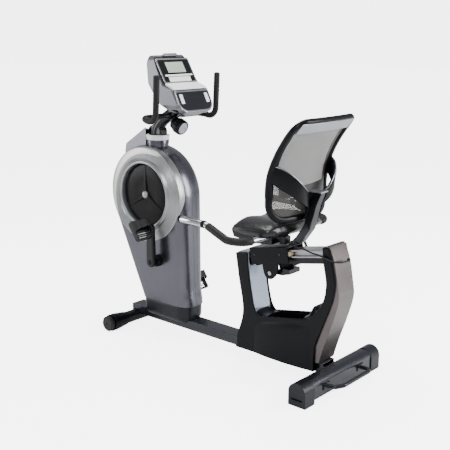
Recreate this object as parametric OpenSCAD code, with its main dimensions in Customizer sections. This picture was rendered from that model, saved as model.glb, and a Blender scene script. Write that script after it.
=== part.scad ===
// Recumbent exercise bike with a sliding seat, a belt-driven flywheel and a tilting console bar.
// +X points to the seat end, -Y is the rider's left, +Z is up. The floor is z = 0.

/* [Floor frame] */
// Height of the beam's underside above the floor
beam_z = 52; // [48:1:56]
// Width of the floor beam
beam_w = 80; // [70:1:84]
// Height of the floor beam
beam_h = 46; // [40:1:48]
// Distance of the front stabiliser from the origin
front_x = -594; // [-600:1:-585]
// Half length of the front stabiliser, wheels included
front_half = 239; // [230:1:250]
// Distance of the rear stabiliser from the origin
rear_x = 613; // [610:1:615]
// Half length of the rear stabiliser, caps included
rear_half = 283; // [275:1:295]

/* [Drive housing] */
// Distance of the drum centre from the origin
drum_x = -475; // [-478:1:-472]
// Height of the drum centre
drum_z = 690; // [680:1:700]
// Radius of the drum
drum_r = 250; // [248:1:254]
// Full width of the housing
housing_w = 170; // [166:1:176]
// Width of the drum's rounded rim
drum_rim = 38; // [34:1:44]
// Wall of the plastic covers
wall = 4; // [3:0.5:5]
// Outer radius of the trim ring
ring_r = 234; // [228:1:236]

/* [Drive] */
// Distance of the flywheel axis from the origin
wheel_x = -465; // [-468:1:-462]
// Height of the flywheel axis
wheel_z = 697; // [694:1:700]
// Radius of the iron flywheel
wheel_r = 138; // [130:1:140]
// Radius of the large belt pulley
pulley_r = 99; // [96:1:102]
// Radius of the small belt pulley
small_r = 22; // [20:1:24]
// Distance of the crank axle from the origin
crank_x = -378; // [-382:1:-374]
// Height of the crank axle
crank_z = 383; // [380:1:388]
// Length of a crank between its centres
crank_len = 170; // [165:1:172]

/* [Seat] */
// Slope of the seat rail
rail_tilt = 10.4; // [10:0.1:10.8]
// Width of the seat rail
rail_w = 90; // [86:1:92]
// Half spacing of the two seat handles
handle_half = 311; // [300:1:320]
// Half width of the seat cushion
cushion_half = 212; // [200:1:220]
// Half width of the back frame
back_half = 210; // [200:1:215]

/* [Handlebar and console] */
// Half spacing of the upright hand grips
bar_half = 200; // [190:1:210]
// Height of the top of the hand grips
bar_top = 1279; // [1260:1:1290]
// Outer radius of the foam on the bar
foam_r = 14.5; // [14:0.5:16]
// Travel of a console key
key_travel = 1.5; // [1:0.1:2]

/* [Hidden] */

$fn = 48;
BLACK = "#1f2024";
GRAPHITE = "#3a3b41";
SILVER = "#9a9ca6";
FOAM = "#2a2826";
STEEL = "#b9bbc0";

gap = 0.3;              // space left between covers that meet
run = 0.05;             // radial clearance of a running fit
tube_wall = 3;          // wall of the steel tubes
beam_top = beam_z + beam_h;
beam_rear = 575;        // end of the beam, against the rear stabiliser

front_r = 30;           // front stabiliser tube
cap_r = 42;             // largest radius of its end caps
front_z = cap_r;
wheel_tread = 24;       // width of a transport wheel
pin_r = 6;              // stub that carries a transport wheel

rear_w = 75;            // section of the rear stabiliser tube
rear_h = 83;
rear_low = 15;
rear_round = 30;
rear_cap_w = 85;
rear_cap_h = 101;
rear_cap_len = 67;

disc_r = 150;           // plastic disc on each side of the flywheel
disc_y = 58;            // inner face of that disc
axle_r = 10;
belt_y = 45;            // belt plane, on the right-hand side
belt_w = 14;
belt_t = 3;
fork_y = 25;            // middle of each flywheel fork plate
brake_x = -338;         // pivot of the magnet arm
brake_z = 823;

crank_y = 118;          // inner face of a crank
crank_t = 26;
crank_w = 42;
pedal_y = 150;          // inner end of a pedal body
pedal_len = 92;
spindle_r = 7;

neck_x = -452;
neck_z = 960;
collar_top = 984;
stub_r = 25;            // top of the mast, inside the console arm

body_x0 = 218;          // ends of the hollow body between the legs
body_x1 = 508;
leg_w = 114;            // width of the leg covers between the side covers
side_w = 65;            // half width over the side covers
rail_h = 33;
rail_x = 400;           // a point on the top of the rail
rail_z = 566;
rail_front = -282;      // ends of the rail, measured along it from that point
rail_rear = 178;
groove = 6;             // thickness of the rail's lips
web = 27;               // half thickness of the rail's web
carriage_front = -224;
carriage_rear = -17;
carriage_half = 60;
roller_r = 10.3;

bar_x = -352;           // cross tube of the handlebar
bar_z = 1082;
bar_r = 12.7;
knob_tilt = 23.3;
knob_x = -350;
knob_z = 1055;

face_tilt = 30.5;       // lean of the display face
face_x = -288;
face_z = 1236;
deck_tilt = 26.6;       // lean of the key deck
deck_x = -195;
deck_z = 1140;

handle_bend = 60;       // bend radius of the side handle
lever_x = 294;          // pivot of the seat lever
lever_z = 446;
back_low = 800;         // height at which the backrest is furthest forward
back_x = 362;
back_bend = 0.001523;
back_t = 24;

// ---------- outlines in the side view, as [x, z] ----------
leg_front_line = [[112, 58], [112, 118], [142, 208], [145, 278], [123, 387], [102, 508]];
leg_front_back = [[172, 520], [176, 454], [194, 345], [214, 250], [236, 224]];
leg_rear_front = [[494, 272], [521, 287], [574, 374], [589, 456], [574, 541], [566, 610]];
leg_rear_split = [[600, 614], [622, 525], [633, 465], [621, 385], [583, 281], [543, 173], [540, 58]];
leg_rear_back = [[602, 615], [625, 552], [644, 456], [650, 393], [626, 302], [585, 183], [560, 100]];
face_line = [[-206, 1100], [-195, 1140], [-234, 1218], [-288, 1236], [-354, 1348], [-367, 1366]];
face_inner = [[-374, 1362], [-362, 1343], [-294, 1228], [-240, 1211], [-204, 1140], [-213, 1098]];
shell_back = [[-398, 1360], [-407, 1326], [-385, 1238], [-337, 1158], [-284, 1118], [-224, 1090]];

// ---------- routes, as [x, y, z] ----------
lead_route = [
    [388, -36, 594], [396, -38, 588], [408, -40, 584], [422, -42, 582], [438, -44, 582],
    [456, -47, 583], [474, -52, 582], [494, -58, 580], [514, -66, 580], [532, -73, 580],
    [552, -76, 580], [574, -76, 576], [596, -76, 570], [616, -74, 566], [634, -66, 562],
    [648, -50, 560], [655, -32, 560], [658, -14, 560], [658.5, 4, 560],
];
bar_route = [
    [bar_x, 0, bar_z], [bar_x, -bar_half, bar_z], [-258, -bar_half, 1064],
    [-247, -bar_half, bar_top],
];
handle_route = [
    [328, 0, 624], [346, -handle_half, 637], [262, -handle_half, 637],
    [150, -handle_half, 684], [-4, -handle_half, 687],
];
carry_route = [
    [653, -128, 52], [690, -124, 54], [716, -96, 60], [716, 96, 60], [690, 124, 54], [653, 128, 52],
];

// ---------- vectors and sweeps ----------
function unit(v) = v / norm(v);
function mirrored(route) = [for (p = route) [p[0], -p[1], p[2]]];
function reversed(list) = [for (i = [len(list) - 1:-1:0]) list[i]];

// The arc of radius r that rounds corner b between a and c
function corner_arc(a, b, c, r, n) =
    let (u = unit(a - b), v = unit(c - b), inner = acos(u * v), turn = 180 - inner)
    let (centre = b + unit(u + v) * r / sin(inner / 2))
    let (p = b + u * r / tan(inner / 2) - centre, q = b + v * r / tan(inner / 2) - centre)
    [for (i = [0:n]) centre + (p * sin(turn * (1 - i / n)) + q * sin(turn * i / n)) / sin(turn)];

function rounded(route, r, n = 5) = concat(
    [route[0]],
    [for (i = [1:len(route) - 2]) each corner_arc(route[i - 1], route[i], route[i + 1], r, n)],
    [route[len(route) - 1]]
);

function tangents(path) = [
    for (i = [0:len(path) - 1]) unit(path[min(i + 1, len(path) - 1)] - path[max(i - 1, 0)])
];

// Each ring's normal is the last one, turned only as far as the path turns
function normals(t, i, n) =
    i == len(t) ? [] : let (m = unit(n - t[i] * (n * t[i]))) concat([m], normals(t, i + 1, m));

module sweep(path, r, sides = 12, seed = [1, 0.2, 0.3]) {
    t = tangents(path);
    n = normals(t, 0, seed);
    last = len(path) - 1;
    points = [
        for (i = [0:last], k = [0:sides - 1])
        path[i] + r * (cos(360 * k / sides) * n[i] + sin(360 * k / sides) * cross(t[i], n[i]))
    ];
    skin = [
        for (i = [0:last - 1], k = [0:sides - 1])
        [i * sides + k, (i + 1) * sides + k, (i + 1) * sides + (k + 1) % sides, i * sides + (k + 1) % sides]
    ];
    start = [for (k = [0:sides - 1]) k];
    end = [for (k = [sides - 1:-1:0]) last * sides + k];
    polyhedron(points, concat([start], skin, [end]));
}

// A sleeve round the path, open at both ends
module hollow_sweep(path, r, inner, sides = 12, seed = [1, 0.2, 0.3]) {
    t = tangents(path);
    n = normals(t, 0, seed);
    last = len(path) - 1;
    far = (last + 1) * sides;
    points = [
        for (radius = [r, inner], i = [0:last], k = [0:sides - 1])
        path[i] + radius * (cos(360 * k / sides) * n[i] + sin(360 * k / sides) * cross(t[i], n[i]))
    ];
    outside = [
        for (i = [0:last - 1], k = [0:sides - 1]) let (m = (k + 1) % sides)
        [i * sides + k, (i + 1) * sides + k, (i + 1) * sides + m, i * sides + m]
    ];
    inside = [
        for (i = [0:last - 1], k = [0:sides - 1]) let (m = (k + 1) % sides)
        [far + i * sides + m, far + (i + 1) * sides + m, far + (i + 1) * sides + k, far + i * sides + k]
    ];
    ends = [
        for (k = [0:sides - 1]) let (m = (k + 1) % sides)
        each [[k, m, far + m, far + k],
            [last * sides + m, last * sides + k, far + last * sides + k, far + last * sides + m]]
    ];
    polyhedron(points, concat(outside, inside, ends));
}

// ---------- small helpers ----------
module handed(side) {
    if (side < 0) children();
    else mirror([0, 1, 0]) children();
}

module both() {
    children();
    mirror([0, 1, 0]) children();
}

module rod_y(x, z, r, y0, y1) {
    translate([x, y1, z]) rotate([90, 0, 0]) cylinder(r = r, h = y1 - y0);
}

// An outline in the side view, extruded from y0 to y1
module slab(y0, y1) {
    translate([0, y1, 0]) rotate([90, 0, 0]) linear_extrude(y1 - y0) children();
}

module on_rail() {
    translate([rail_x, 0, rail_z]) rotate([0, -rail_tilt, 0]) children();
}

module on_face() {
    translate([face_x, 0, face_z]) rotate([0, -face_tilt, 0]) children();
}

module on_deck() {
    translate([deck_x, 0, deck_z]) rotate([0, -deck_tilt, 0]) children();
}

module on_knob() {
    translate([knob_x, 0, knob_z]) rotate([0, 90 + knob_tilt, 0]) children();
}

module block(x0, x1, y0, y1, z0, z1) {
    translate([x0, y0, z0]) cube([x1 - x0, y1 - y0, z1 - z0]);
}

// ---------- floor frame ----------
module base_beam() color(BLACK) difference() {
    block(-622, beam_rear, -beam_w / 2, beam_w / 2, beam_z, beam_top);
    block(-545, beam_rear + 1, tube_wall - beam_w / 2, beam_w / 2 - tube_wall,
        beam_z + tube_wall, beam_top - tube_wall);
    rod_y(front_x, front_z, front_r + gap, -beam_w, beam_w);
}

module front_stabiliser() color(BLACK) difference() {
    rod_y(front_x, front_z, front_r, -198, 198);
    rod_y(front_x, front_z, front_r - tube_wall, -199, 199);
}

// Barrel cap with a pocket for the tube and a stub for its wheel
module front_cap() {
    face = front_half - wheel_tread - 1;
    translate([front_x, 0, front_z]) rotate([90, 0, 0]) rotate_extrude() polygon([
        [front_r + 0.1, 118], [33, 118], [35, 130], [cap_r, 186], [cap_r, face],
        [pin_r, face], [pin_r, front_half], [0, front_half], [0, 199], [front_r + 0.1, 199],
    ]);
}

module front_caps() color(BLACK) both() front_cap();

module transport_wheel(side) color(GRAPHITE) handed(side) {
    translate([front_x, 0, front_z]) rotate([90, 0, 0]) rotate_extrude() polygon([
        [pin_r + run, front_half - wheel_tread], [34, front_half - wheel_tread],
        [38, front_half - wheel_tread + 4], [38, front_half - 5], [33, front_half], [pin_r + run, front_half],
    ]);
}

module d_section(w, h, r, low) {
    translate([-w / 2, low]) square([w, h - r]);
    translate([-w / 2 + r, low]) square([w - 2 * r, h]);
    for (s = [-1, 1]) translate([s * (w / 2 - r), low + h - r]) circle(r);
}

module rear_stabiliser() color(GRAPHITE) translate([rear_x, 0, 0]) difference() {
    slab(-232, 232) d_section(rear_w, rear_h, rear_round, rear_low);
    slab(-233, 233)
        d_section(rear_w - 2 * tube_wall, rear_h - 2 * tube_wall, rear_round - tube_wall, rear_low + tube_wall);
}

module rear_caps() color(BLACK) both() translate([rear_x, 0, 0]) difference() {
    slab(-rear_half, rear_cap_len - rear_half) d_section(rear_cap_w, rear_cap_h, 42, 0);
    slab(-232.5, rear_cap_len - rear_half + 1) d_section(rear_w + gap, rear_h + gap, rear_round, rear_low - gap / 2);
    block(-26, 26, -rear_half - 1, -rear_half + 9, 26, 34);
}

module carry_handle() color(GRAPHITE) {
    sweep(rounded(carry_route, 22), 9);
    both() block(650.8, 655, -151, -105, 38, 66);
}

module bolt(x, y, z, tilt) {
    translate([x, y, z]) rotate(tilt) cylinder(r = 5.5, h = 5, $fn = 24);
}

module base_fasteners() color(STEEL) {
    for (y = [-26, 26]) bolt(front_x, y, beam_top, [0, 0, 0]);
    for (y = [-144.5, -111.5, 111.5, 144.5]) bolt(655.1, y, 52, [0, 90, 0]);
    for (x = [150, 330, 505]) bolt(x, 0, beam_z, [180, 0, 0]);
}

// ---------- drive housing ----------
module drum(grow) {
    half = housing_w / 2 + grow;
    r = drum_r + grow;
    rim = drum_rim + grow;
    translate([drum_x, 0, drum_z]) rotate([90, 0, 0]) rotate_extrude($fn = 72) {
        polygon(concat(
            [[0, -half]],
            [for (a = [-90:22.5:90]) [r - rim + rim * cos(a), half * sin(a)]],
            [[0, half]]
        ));
    }
}

// The drum and its tapering foot, as one convex body
module housing_body(grow) {
    hull() {
        drum(grow);
        for (y = [-44, 44]) translate([-470, y, 150]) cylinder(r = 30 + grow, h = 20, $fn = 32);
        for (y = [-18, 18]) translate([-264, y, 150]) cylinder(r = 56 + grow, h = 20, $fn = 32);
        for (y = [-24, 24]) translate([-262, y, 400]) cylinder(r = 40 + grow, h = 200, $fn = 32);
    }
}

module housing(side) color(SILVER) handed(side) difference() {
    union() {
        intersection() {
            housing_body(0);
            block(-800, 0, -100, -0.05, 168, 1000);
        }
        intersection() {
            translate([neck_x, 0, 880]) cylinder(r1 = 46, r2 = 55, h = neck_z - 880);
            block(-800, 0, -100, -0.05, 880, neck_z);
        }
    }
    difference() {
        housing_body(-wall);
        block(-800, 0, -100, 100, 100, 160);
    }
    translate([neck_x, 0, 800]) cylinder(r = 40, h = 300);
    rod_y(wheel_x, wheel_z, 166, -200, 0);
    rod_y(crank_x, crank_z, 26, -200, 0);
    block(-460, -240, -60, 1, 160, 176);
}

module base_cover() color(GRAPHITE) difference() {
    hull() {
        for (y = [-44, 44]) translate([-470, y, 150]) cylinder(r = 30, h = 17.5, $fn = 32);
        for (y = [-18, 18]) translate([-264, y, 150]) cylinder(r = 56, h = 17.5, $fn = 32);
        block(-484, -190, -52, 52, 78, 82);
    }
    hull() {
        for (y = [-44, 44]) translate([-470, y, 150]) cylinder(r = 26, h = 20, $fn = 32);
        for (y = [-18, 18]) translate([-264, y, 150]) cylinder(r = 52, h = 20, $fn = 32);
        block(-480, -194, -48, 48, 76, 82);
    }
    block(-700, 0, -beam_w / 2 - gap, beam_w / 2 + gap, 40, beam_top + gap);
}

// The right-hand ring is smaller than the left one
module ring(side) color("#c8c6bf") handed(side) difference() {
    outer = side < 0 ? ring_r : ring_r - 34;
    inner_bead = max(outer - 29, 184);
    translate([wheel_x, 0, wheel_z]) rotate([90, 0, 0]) rotate_extrude($fn = 96) polygon([
        [153, 68], [157, 68], [160, 84], [outer - 8, 40], [outer, 40], [outer, 84], [outer - 5, 92],
        [inner_bead, 97], [178, 97], [170, 93], [160, 96], [155, 95],
    ]);
    housing_body(gap);
    translate([neck_x, 0, 860]) cylinder(r = 56, h = 100);
}

module gusset_cover() color(GRAPHITE) difference() {
    slab(-44, 44) polygon([[-644, 884], [-634, 930], [-470, 1034], [-466, 900], [-520, 880]]);
    slab(-40, 40) polygon([[-636, 870], [-628, 926], [-480, 1020], [-430, 1020], [-430, 860]]);
    housing_body(gap);
    translate([neck_x, 0, 800]) cylinder(r = 58.5, h = 300);
    slab(-27 - gap, 27 + gap) offset(delta = gap) arm_outline();
}

module neck_collar() color("#d6dade") difference() {
    translate([neck_x, 0, neck_z + gap]) cylinder(r1 = 55, r2 = 58, h = collar_top - neck_z - gap);
    translate([neck_x, 0, 900]) cylinder(r = 40, h = 200);
}

// ---------- steel inside the housing ----------
module mast() color(BLACK) difference() {
    union() {
        block(-306, -266, -20, 20, beam_top, 801);
        slab(-20, 20) polygon([[-306, 800], [-266, 800], [-290, 843], [-345, 880], [-430, 915], [-430, 958],
            [-474, 958], [-474, 890], [-400, 878], [-345, 850], [-306, 835]]);
        translate([neck_x, 0, 940]) cylinder(r = stub_r, h = 70);
        both() slab(-fork_y - 3, -fork_y + 5) {
            polygon([[-266, 660], [-266, 735], [-440, 722], [-488, 722], [-488, 672], [-440, 672]]);
            polygon([[-290, 790], [-290, 840], [-326, 842], [-350, 835], [-350, 811], [-326, 811]]);
        }
        rod_y(crank_x, crank_z, 24, -32, 32);
        rod_y(brake_x, brake_z, 4, -28, 28);
        slab(-16, 16) polygon([[-300, 340], [-300, 430], [-370, 404], [-370, 362]]);
        block(-330, -232, -36, 36, beam_top, beam_top + 6);
    }
    block(-303, -269, -17, 17, beam_top - 1, 790);
    rod_y(wheel_x, wheel_z, axle_r + run, -60, 60);
    rod_y(crank_x, crank_z, axle_r + run, -60, 60);
}

module flywheel() color("#6b6c70") union() {
    translate([wheel_x, 0, wheel_z]) rotate([90, 0, 0]) rotate_extrude($fn = 96) polygon([
        [0, -14], [16, -14], [16, -5], [90, -5], [90, -13], [wheel_r, -13],
        [wheel_r, 13], [90, 13], [90, 5], [16, 5], [16, 14], [0, 14],
    ]);
    rod_y(wheel_x, wheel_z, axle_r, -disc_y, disc_y);
    rod_y(wheel_x, wheel_z, small_r, belt_y - belt_w / 2 - 2, belt_y + belt_w / 2 + 2);
}

module flywheel_discs() color(BLACK) both() difference() {
    union() {
        rod_y(wheel_x, wheel_z, disc_r, -disc_y - 4, -disc_y - 0.02);
        rod_y(wheel_x, wheel_z, 20, -disc_y - 16, -disc_y);
        for (a = [90, 210, 330])
            translate([wheel_x, 0, wheel_z]) rotate([0, a, 0]) block(10, 140, -disc_y - 10, -disc_y - 3, -11, 11);
    }
    rod_y(wheel_x, wheel_z, 5, -disc_y - 6, 0);
}

// Tangent outline round both pulleys, t outside their faces
module belt_outline(t) {
    hull() {
        translate([crank_x, crank_z]) circle(pulley_r + t);
        translate([wheel_x, wheel_z]) circle(small_r + t);
    }
}

module drive_belt() color(BLACK) slab(belt_y - belt_w / 2, belt_y + belt_w / 2) difference() {
    belt_outline(gap + belt_t);
    belt_outline(gap);
}

module brake_arm() color(STEEL) difference() {
    union() {
        rod_y(brake_x, brake_z, 9, -18, 18);
        slab(-18, 18) polygon([[-330, 818], [-340, 832], [-404, 845], [-416, 838]]);
        translate([wheel_x, 0, wheel_z]) slab(-24, 24) intersection() {
            difference() {
                circle(wheel_r + 14, $fn = 96);
                circle(wheel_r + 5, $fn = 96);
            }
            polygon([[0, 0], [90, 190], [-60, 190]]);
        }
        translate([wheel_x, 0, wheel_z]) both() slab(-24, -17) intersection() {
            difference() {
                circle(wheel_r + 14, $fn = 96);
                circle(wheel_r - 36, $fn = 96);
            }
            polygon([[0, 0], [60, 190], [-60, 190]]);
        }
    }
    rod_y(brake_x, brake_z, 4 + run, -40, 40);
}

// ---------- crank and pedals ----------
module crank_axle() color(STEEL) {
    rod_y(crank_x, crank_z, axle_r, -crank_y - crank_t + 4, crank_y + crank_t - 4);
}

module drive_pulley() color(GRAPHITE) difference() {
    union() {
        rod_y(crank_x, crank_z, pulley_r, belt_y - belt_w / 2, belt_y + belt_w / 2);
        rod_y(crank_x, crank_z, 22, belt_y - 10, belt_y + 16);
    }
    rod_y(crank_x, crank_z, axle_r + run, 0, 100);
    for (a = [0:60:300])
        translate([crank_x, 0, crank_z]) rotate([0, a, 0]) rod_y(62, 0, 22, 0, 100);
}

// Crank drawn pointing up on the left; up = -1 turns it down for the right
module crank(side, up) color(BLACK) handed(side) difference() {
    translate([crank_x, 0, crank_z]) union() {
        rod_y(0, 0, crank_w / 2 + 3, -crank_y - crank_t, -crank_y);
        rod_y(0, up * crank_len, crank_w / 2, -crank_y - crank_t, -crank_y);
        block(-crank_w / 2, crank_w / 2, -crank_y - crank_t, -crank_y, min(0, up * crank_len), max(0, up * crank_len));
    }
    rod_y(crank_x, crank_z, axle_r + run, -crank_y - crank_t + 4, 0);
    rod_y(crank_x, crank_z + up * crank_len, spindle_r + run, -crank_y - crank_t - 1, 0);
}

// Open platform pedal whose tread faces the rider
module pedal(side, up) color(GRAPHITE) handed(side) translate([crank_x, 0, crank_z + up * crank_len]) {
    outer = pedal_y + pedal_len;
    rod_y(0, 0, spindle_r, -pedal_y, -crank_y - 2);
    rod_y(0, 0, 13, -outer + 8, -pedal_y);
    rotate([0, -35, 0]) difference() {
        block(-12, 12, -outer, -pedal_y, -52, 52);
        for (z = [-42, 16]) block(-13, 13, -outer + 8, -pedal_y - 8, z, z + 26);
    }
}

// Strap over the tread, fixed to both ends of the pedal
module strap(side, up) color(FOAM) handed(side) translate([crank_x, 0, crank_z + up * crank_len]) {
    mid = pedal_y + pedal_len / 2;
    rotate([0, -35, 0]) translate([12.2, -mid, 16]) difference() {
        translate([0, 0, -22]) linear_extrude(44) intersection() {
            circle(r = pedal_len / 2 + 2, $fn = 40);
            translate([0, -80]) square([80, 160]);
        }
        translate([0, 0, -23]) linear_extrude(46) intersection() {
            circle(r = pedal_len / 2 - 1, $fn = 40);
            translate([-1, -80]) square([80, 160]);
        }
    }
}

// ---------- pedestal under the seat ----------
module pedestal_outline() {
    polygon(concat(leg_front_line, leg_front_back, leg_rear_front, leg_rear_split));
}

module pedestal_cover(side) color(BLACK) handed(side) difference() {
    union() {
        slab(-side_w, -leg_w / 2 - gap) pedestal_outline();
        slab(-leg_w / 2 - gap, -0.15) intersection() {
            pedestal_outline();
            translate([body_x0, 58]) square([body_x1 - body_x0, 240]);
        }
    }
    slab(-leg_w / 2 + 2, 1)
        polygon([[body_x0 + 4, 57], [body_x0 + 4, 217], [body_x1 - 4, 268], [body_x1 - 4, 57]]);
    slab(-54, 1) polygon([[276, 176], [265.5, 240], [480, 282], [472, 176]]);
    block(50, 620, -beam_w / 2 - gap, 1, 40, beam_top + gap);
}

module front_leg_cover() color(SILVER) difference() {
    slab(-leg_w / 2, leg_w / 2) polygon([[114, 100], [114, 118], [144, 208], [147, 278], [125, 387], [104, 508],
        [170, 520], [174, 454], [192, 345], [212, 250], [216, 246], [216, 100]]);
    slab(-leg_w / 2 + wall, leg_w / 2 - wall) polygon([[120, 99], [120, 118], [150, 208], [153, 278], [131, 387],
        [110, 530], [163, 530], [167, 454], [185, 345], [206, 250], [210, 242], [210, 99]]);
    on_rail() block(-300, 200, -rail_w / 2 - gap, rail_w / 2 + gap, -63, 40);
}

module rear_leg_cover() color("#6f6a6c") difference() {
    slab(-leg_w / 2, leg_w / 2) polygon(concat([[512, 100], [512, 288], [524, 292], [576, 374], [591, 456],
        [576, 541], [568, 590], [568, 614]], leg_rear_back));
    slab(-leg_w / 2 + wall, leg_w / 2 - wall) polygon([[518, 99], [518, 296], [530, 300], [582, 376], [597, 456],
        [582, 541], [576, 606], [596, 606], [617, 550], [636, 456], [642, 393], [618, 304], [577, 185], [552, 99]]);
    on_rail() block(-300, rail_rear + gap, -rail_w / 2 - gap, rail_w / 2 + gap, -63, 0.5);
}

// Two welded posts and the beam that carries the seat rail
module seat_frame() color(BLACK) difference() {
    union() {
        slab(-24, 24) polygon([[176, beam_top], [206, beam_top], [198, 260], [160, 470], [128, 470], [160, 260]]);
        slab(-24, 24) polygon([[520, beam_top], [548, beam_top], [632, 400], [606, 560], [586, 560], [608, 405]]);
        on_rail() block(rail_front, rail_rear + 18, -30, 30, -62, -rail_h - gap);
        on_rail() block(138, 158, -24, 24, -76, -61);
        on_rail() block(-230, -212, -24, 24, -72, -61);
    }
    slab(-21, 21) polygon([[179, beam_top - 1], [203, beam_top - 1], [195, 260], [165, 430], [138, 430], [163, 260]]);
    slab(-21, 21) polygon([[524, beam_top - 1], [545, beam_top - 1], [628, 400], [612, 500], [598, 500], [611, 405]]);
    on_rail() block(rail_front - 1, rail_rear + 19, -27, 27, -59, -rail_h - gap - 3);
}

module bottle_tray() color(BLACK) difference() {
    slab(-53.5, 53.5) polygon([[278, 178], [267, 231], [478, 271], [470, 178]]);
    slab(-50.5, 50.5) polygon([[282, 181], [270, 250], [475, 290], [466, 181]]);
}

// Extrusion with a roller groove down each side
module seat_rail() color(STEEL) on_rail() difference() {
    block(rail_front, rail_rear, -rail_w / 2, rail_w / 2, -rail_h, 0);
    both() block(rail_front - 1, rail_rear + 1, -rail_w / 2 - 1, -web, groove - rail_h, -groove);
    block(rail_front - 1, rail_rear + 1, -web + 4, web - 4, 4 - rail_h, -4);
}

module pulse_plug() color(BLACK) {
    translate([645, 8, 560]) rotate([0, 90, 0]) cylinder(r = 7, h = 9);
}

// ---------- console ----------
module console_front_outline() {
    left = [[-81, 1370], [-100, 1354], [-106, 1340], [-123, 1232], [-119, 1200], [-113, 1140], [-88, 1108], [-40, 1090]];
    polygon(concat(left, [for (p = reversed(left)) [-p[0], p[1]]]));
}

// The front outline, extruded along X
module console_prism() {
    translate([-450, 0, 0]) rotate([90, 0, 90]) linear_extrude(300) console_front_outline();
}

module console_face() color("#e4e6ea") difference() {
    intersection() {
        slab(-130, 130) polygon(concat(face_line, face_inner));
        console_prism();
    }
    on_face() block(-3, 1, -103, 103, 6, 124);
    on_face() block(-20, 1, -67, 67, 50, 112);
    on_deck() block(-3, 1, -101, 101, 3, 61);
    both() on_deck() block(-30, 1, -93, -71, 8, 56);
}

module console_shell() color("#77787f") difference() {
    intersection() {
        slab(-130, 130) polygon(concat([for (p = face_inner) p - [0.4, 0.1]], reversed(shell_back)));
        console_prism();
    }
    slab(-98, 98) polygon([[-380, 1352], [-398, 1326], [-376, 1242], [-331, 1166], [-281, 1128], [-225, 1104],
        [-195, 1140], [-235, 1215], [-290, 1235], [-350, 1352]]);
}

module console_lens() color("#26282c") on_face() difference() {
    block(-2.8, 0, -102.7, 102.7, 6.3, 123.7);
    block(-3, 1, -66, 66, 51, 111);
}

module display_module() color("#8f9b8e") on_face() {
    block(-10.4, -3.2, -65.7, 65.7, 51.3, 110.7);
    block(-22, -10, -78, 78, 40, 118);
}

module key_panel() color("#545868") on_deck() difference() {
    block(-2.8, 0, -100.7, 100.7, 3.3, 60.7);
    both() block(-4, 1, -93, -71, 8, 56);
}

module key(side) color("#e9ebee") handed(side) on_deck() {
    block(-14, 2.4, -92.7, -71.3, 8.3, 55.7);
}

module arm_outline() {
    polygon([[-500, collar_top + gap], [-404, collar_top + gap], [-398, 1012], [-258.5, 1105.2],
        [-284.4, 1117.4], [-311.8, 1137.9], [-496, 1024]]);
}

module console_arm() color(BLACK) difference() {
    slab(-27, 27) arm_outline();
    translate([neck_x, 0, 900]) cylinder(r = stub_r + run, h = 110.5);
    rod_y(bar_x, bar_z, bar_r + run, -40, 40);
    on_knob() translate([0, 0, 11.5]) cylinder(r = 34.5, h = 90);
    on_knob() translate([0, 0, -6]) cylinder(r = 5 + run, h = 40);
}

// ---------- handlebar ----------
module handlebar() color(BLACK) {
    rod_y(bar_x, bar_z, bar_r, -60, 60);
    both() sweep(rounded([[bar_x, -58, bar_z], bar_route[1], bar_route[2], bar_route[3] - [0, 0, 6]], 42), 10.5, 12);
}

module bar_grips() color(FOAM) both() difference() {
    sweep(rounded([[bar_x, -62, bar_z], bar_route[1], bar_route[2], bar_route[3]], 42), foam_r, 16);
    sweep(rounded([[bar_x, -58, bar_z], bar_route[1], bar_route[2], bar_route[3] - [0, 0, 4]], 42), 11.4, 12);
}

module clamp_knob() color(BLACK) on_knob() {
    translate([0, 0, 12]) cylinder(r = 33, h = 62);
    translate([0, 0, -5]) cylinder(r = 5, h = 18);
}

// ---------- sliding seat ----------
module carriage() color(BLACK) difference() {
    union() {
        on_rail() difference() {
            block(carriage_front, carriage_rear, -carriage_half, carriage_half, -60, 16);
            block(carriage_front - 1, carriage_rear + 1, -rail_w / 2 - 1.5, rail_w / 2 + 1.5, -61, 6);
        }
        both() slab(-carriage_half, -carriage_half + 8)
            polygon([[252, 486], [262, 440], [280, 420], [306, 420], [330, 448], [338, 500]]);
        slab(-50, 50) polygon([[184, 536], [184, 605.6], [294, 605.6], [294, 556]]);
        slab(-20, 20) polygon([[312, 558], [312, 610], [344, 610], [344, 564]]);
    }
    rod_y(lever_x, lever_z, 6 + run, -80, 80);
    for (x = [-200, -60]) on_rail() rod_y(x, -16.5, 4 + run, -80, 80);
}

module rollers(along) color("#c9b58c") both() on_rail() {
    rod_y(along, -16.5, roller_r, -rail_w / 2 + 2, -web - 1.5);
    rod_y(along, -16.5, 4, -carriage_half - 2, -rail_w / 2 + 2);
}

module seat_lever() color(BLACK) {
    rod_y(lever_x, lever_z, 6, -carriage_half - 3, 240);
    slab(-38, 38) polygon([[lever_x, 441], [lever_x, 451], [350, 472], [384, 472], [384, 452], [340, 440]]);
    sweep([[lever_x, 234, lever_z], [276, 238, 500], [236, 240, 570], [170, 240, 604]], 7, 12);
}

module seat_cushion() color("#2d2b2c") {
    slab(-cushion_half, cushion_half)
        polygon([[150, 640], [166, 606], [296, 606], [308, 651], [418, 655], [430, 670], [420, 685], [380, 687],
            [190, 692], [158, 672]]);
}

// Point a fraction t of the way from a to b
function between(a, b, t) = a + (b - a) * t;

function handle_path(first, last) = rounded([first, handle_route[1], handle_route[2], last], handle_bend);

module side_handle() color("#8d9096") both() {
    sweep(rounded([handle_route[0] + [0, 0.01, 0], handle_route[1], handle_route[2], handle_route[3],
        handle_route[4]], handle_bend), 13, 12);
}

// Foam from the rear corner to the front bend
module handle_grips() color(FOAM) both()
    hollow_sweep(handle_path(between(handle_route[0], handle_route[1], 0.8),
        between(handle_route[3], handle_route[2], 0.08)), 17, 13.8, 12);

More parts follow.
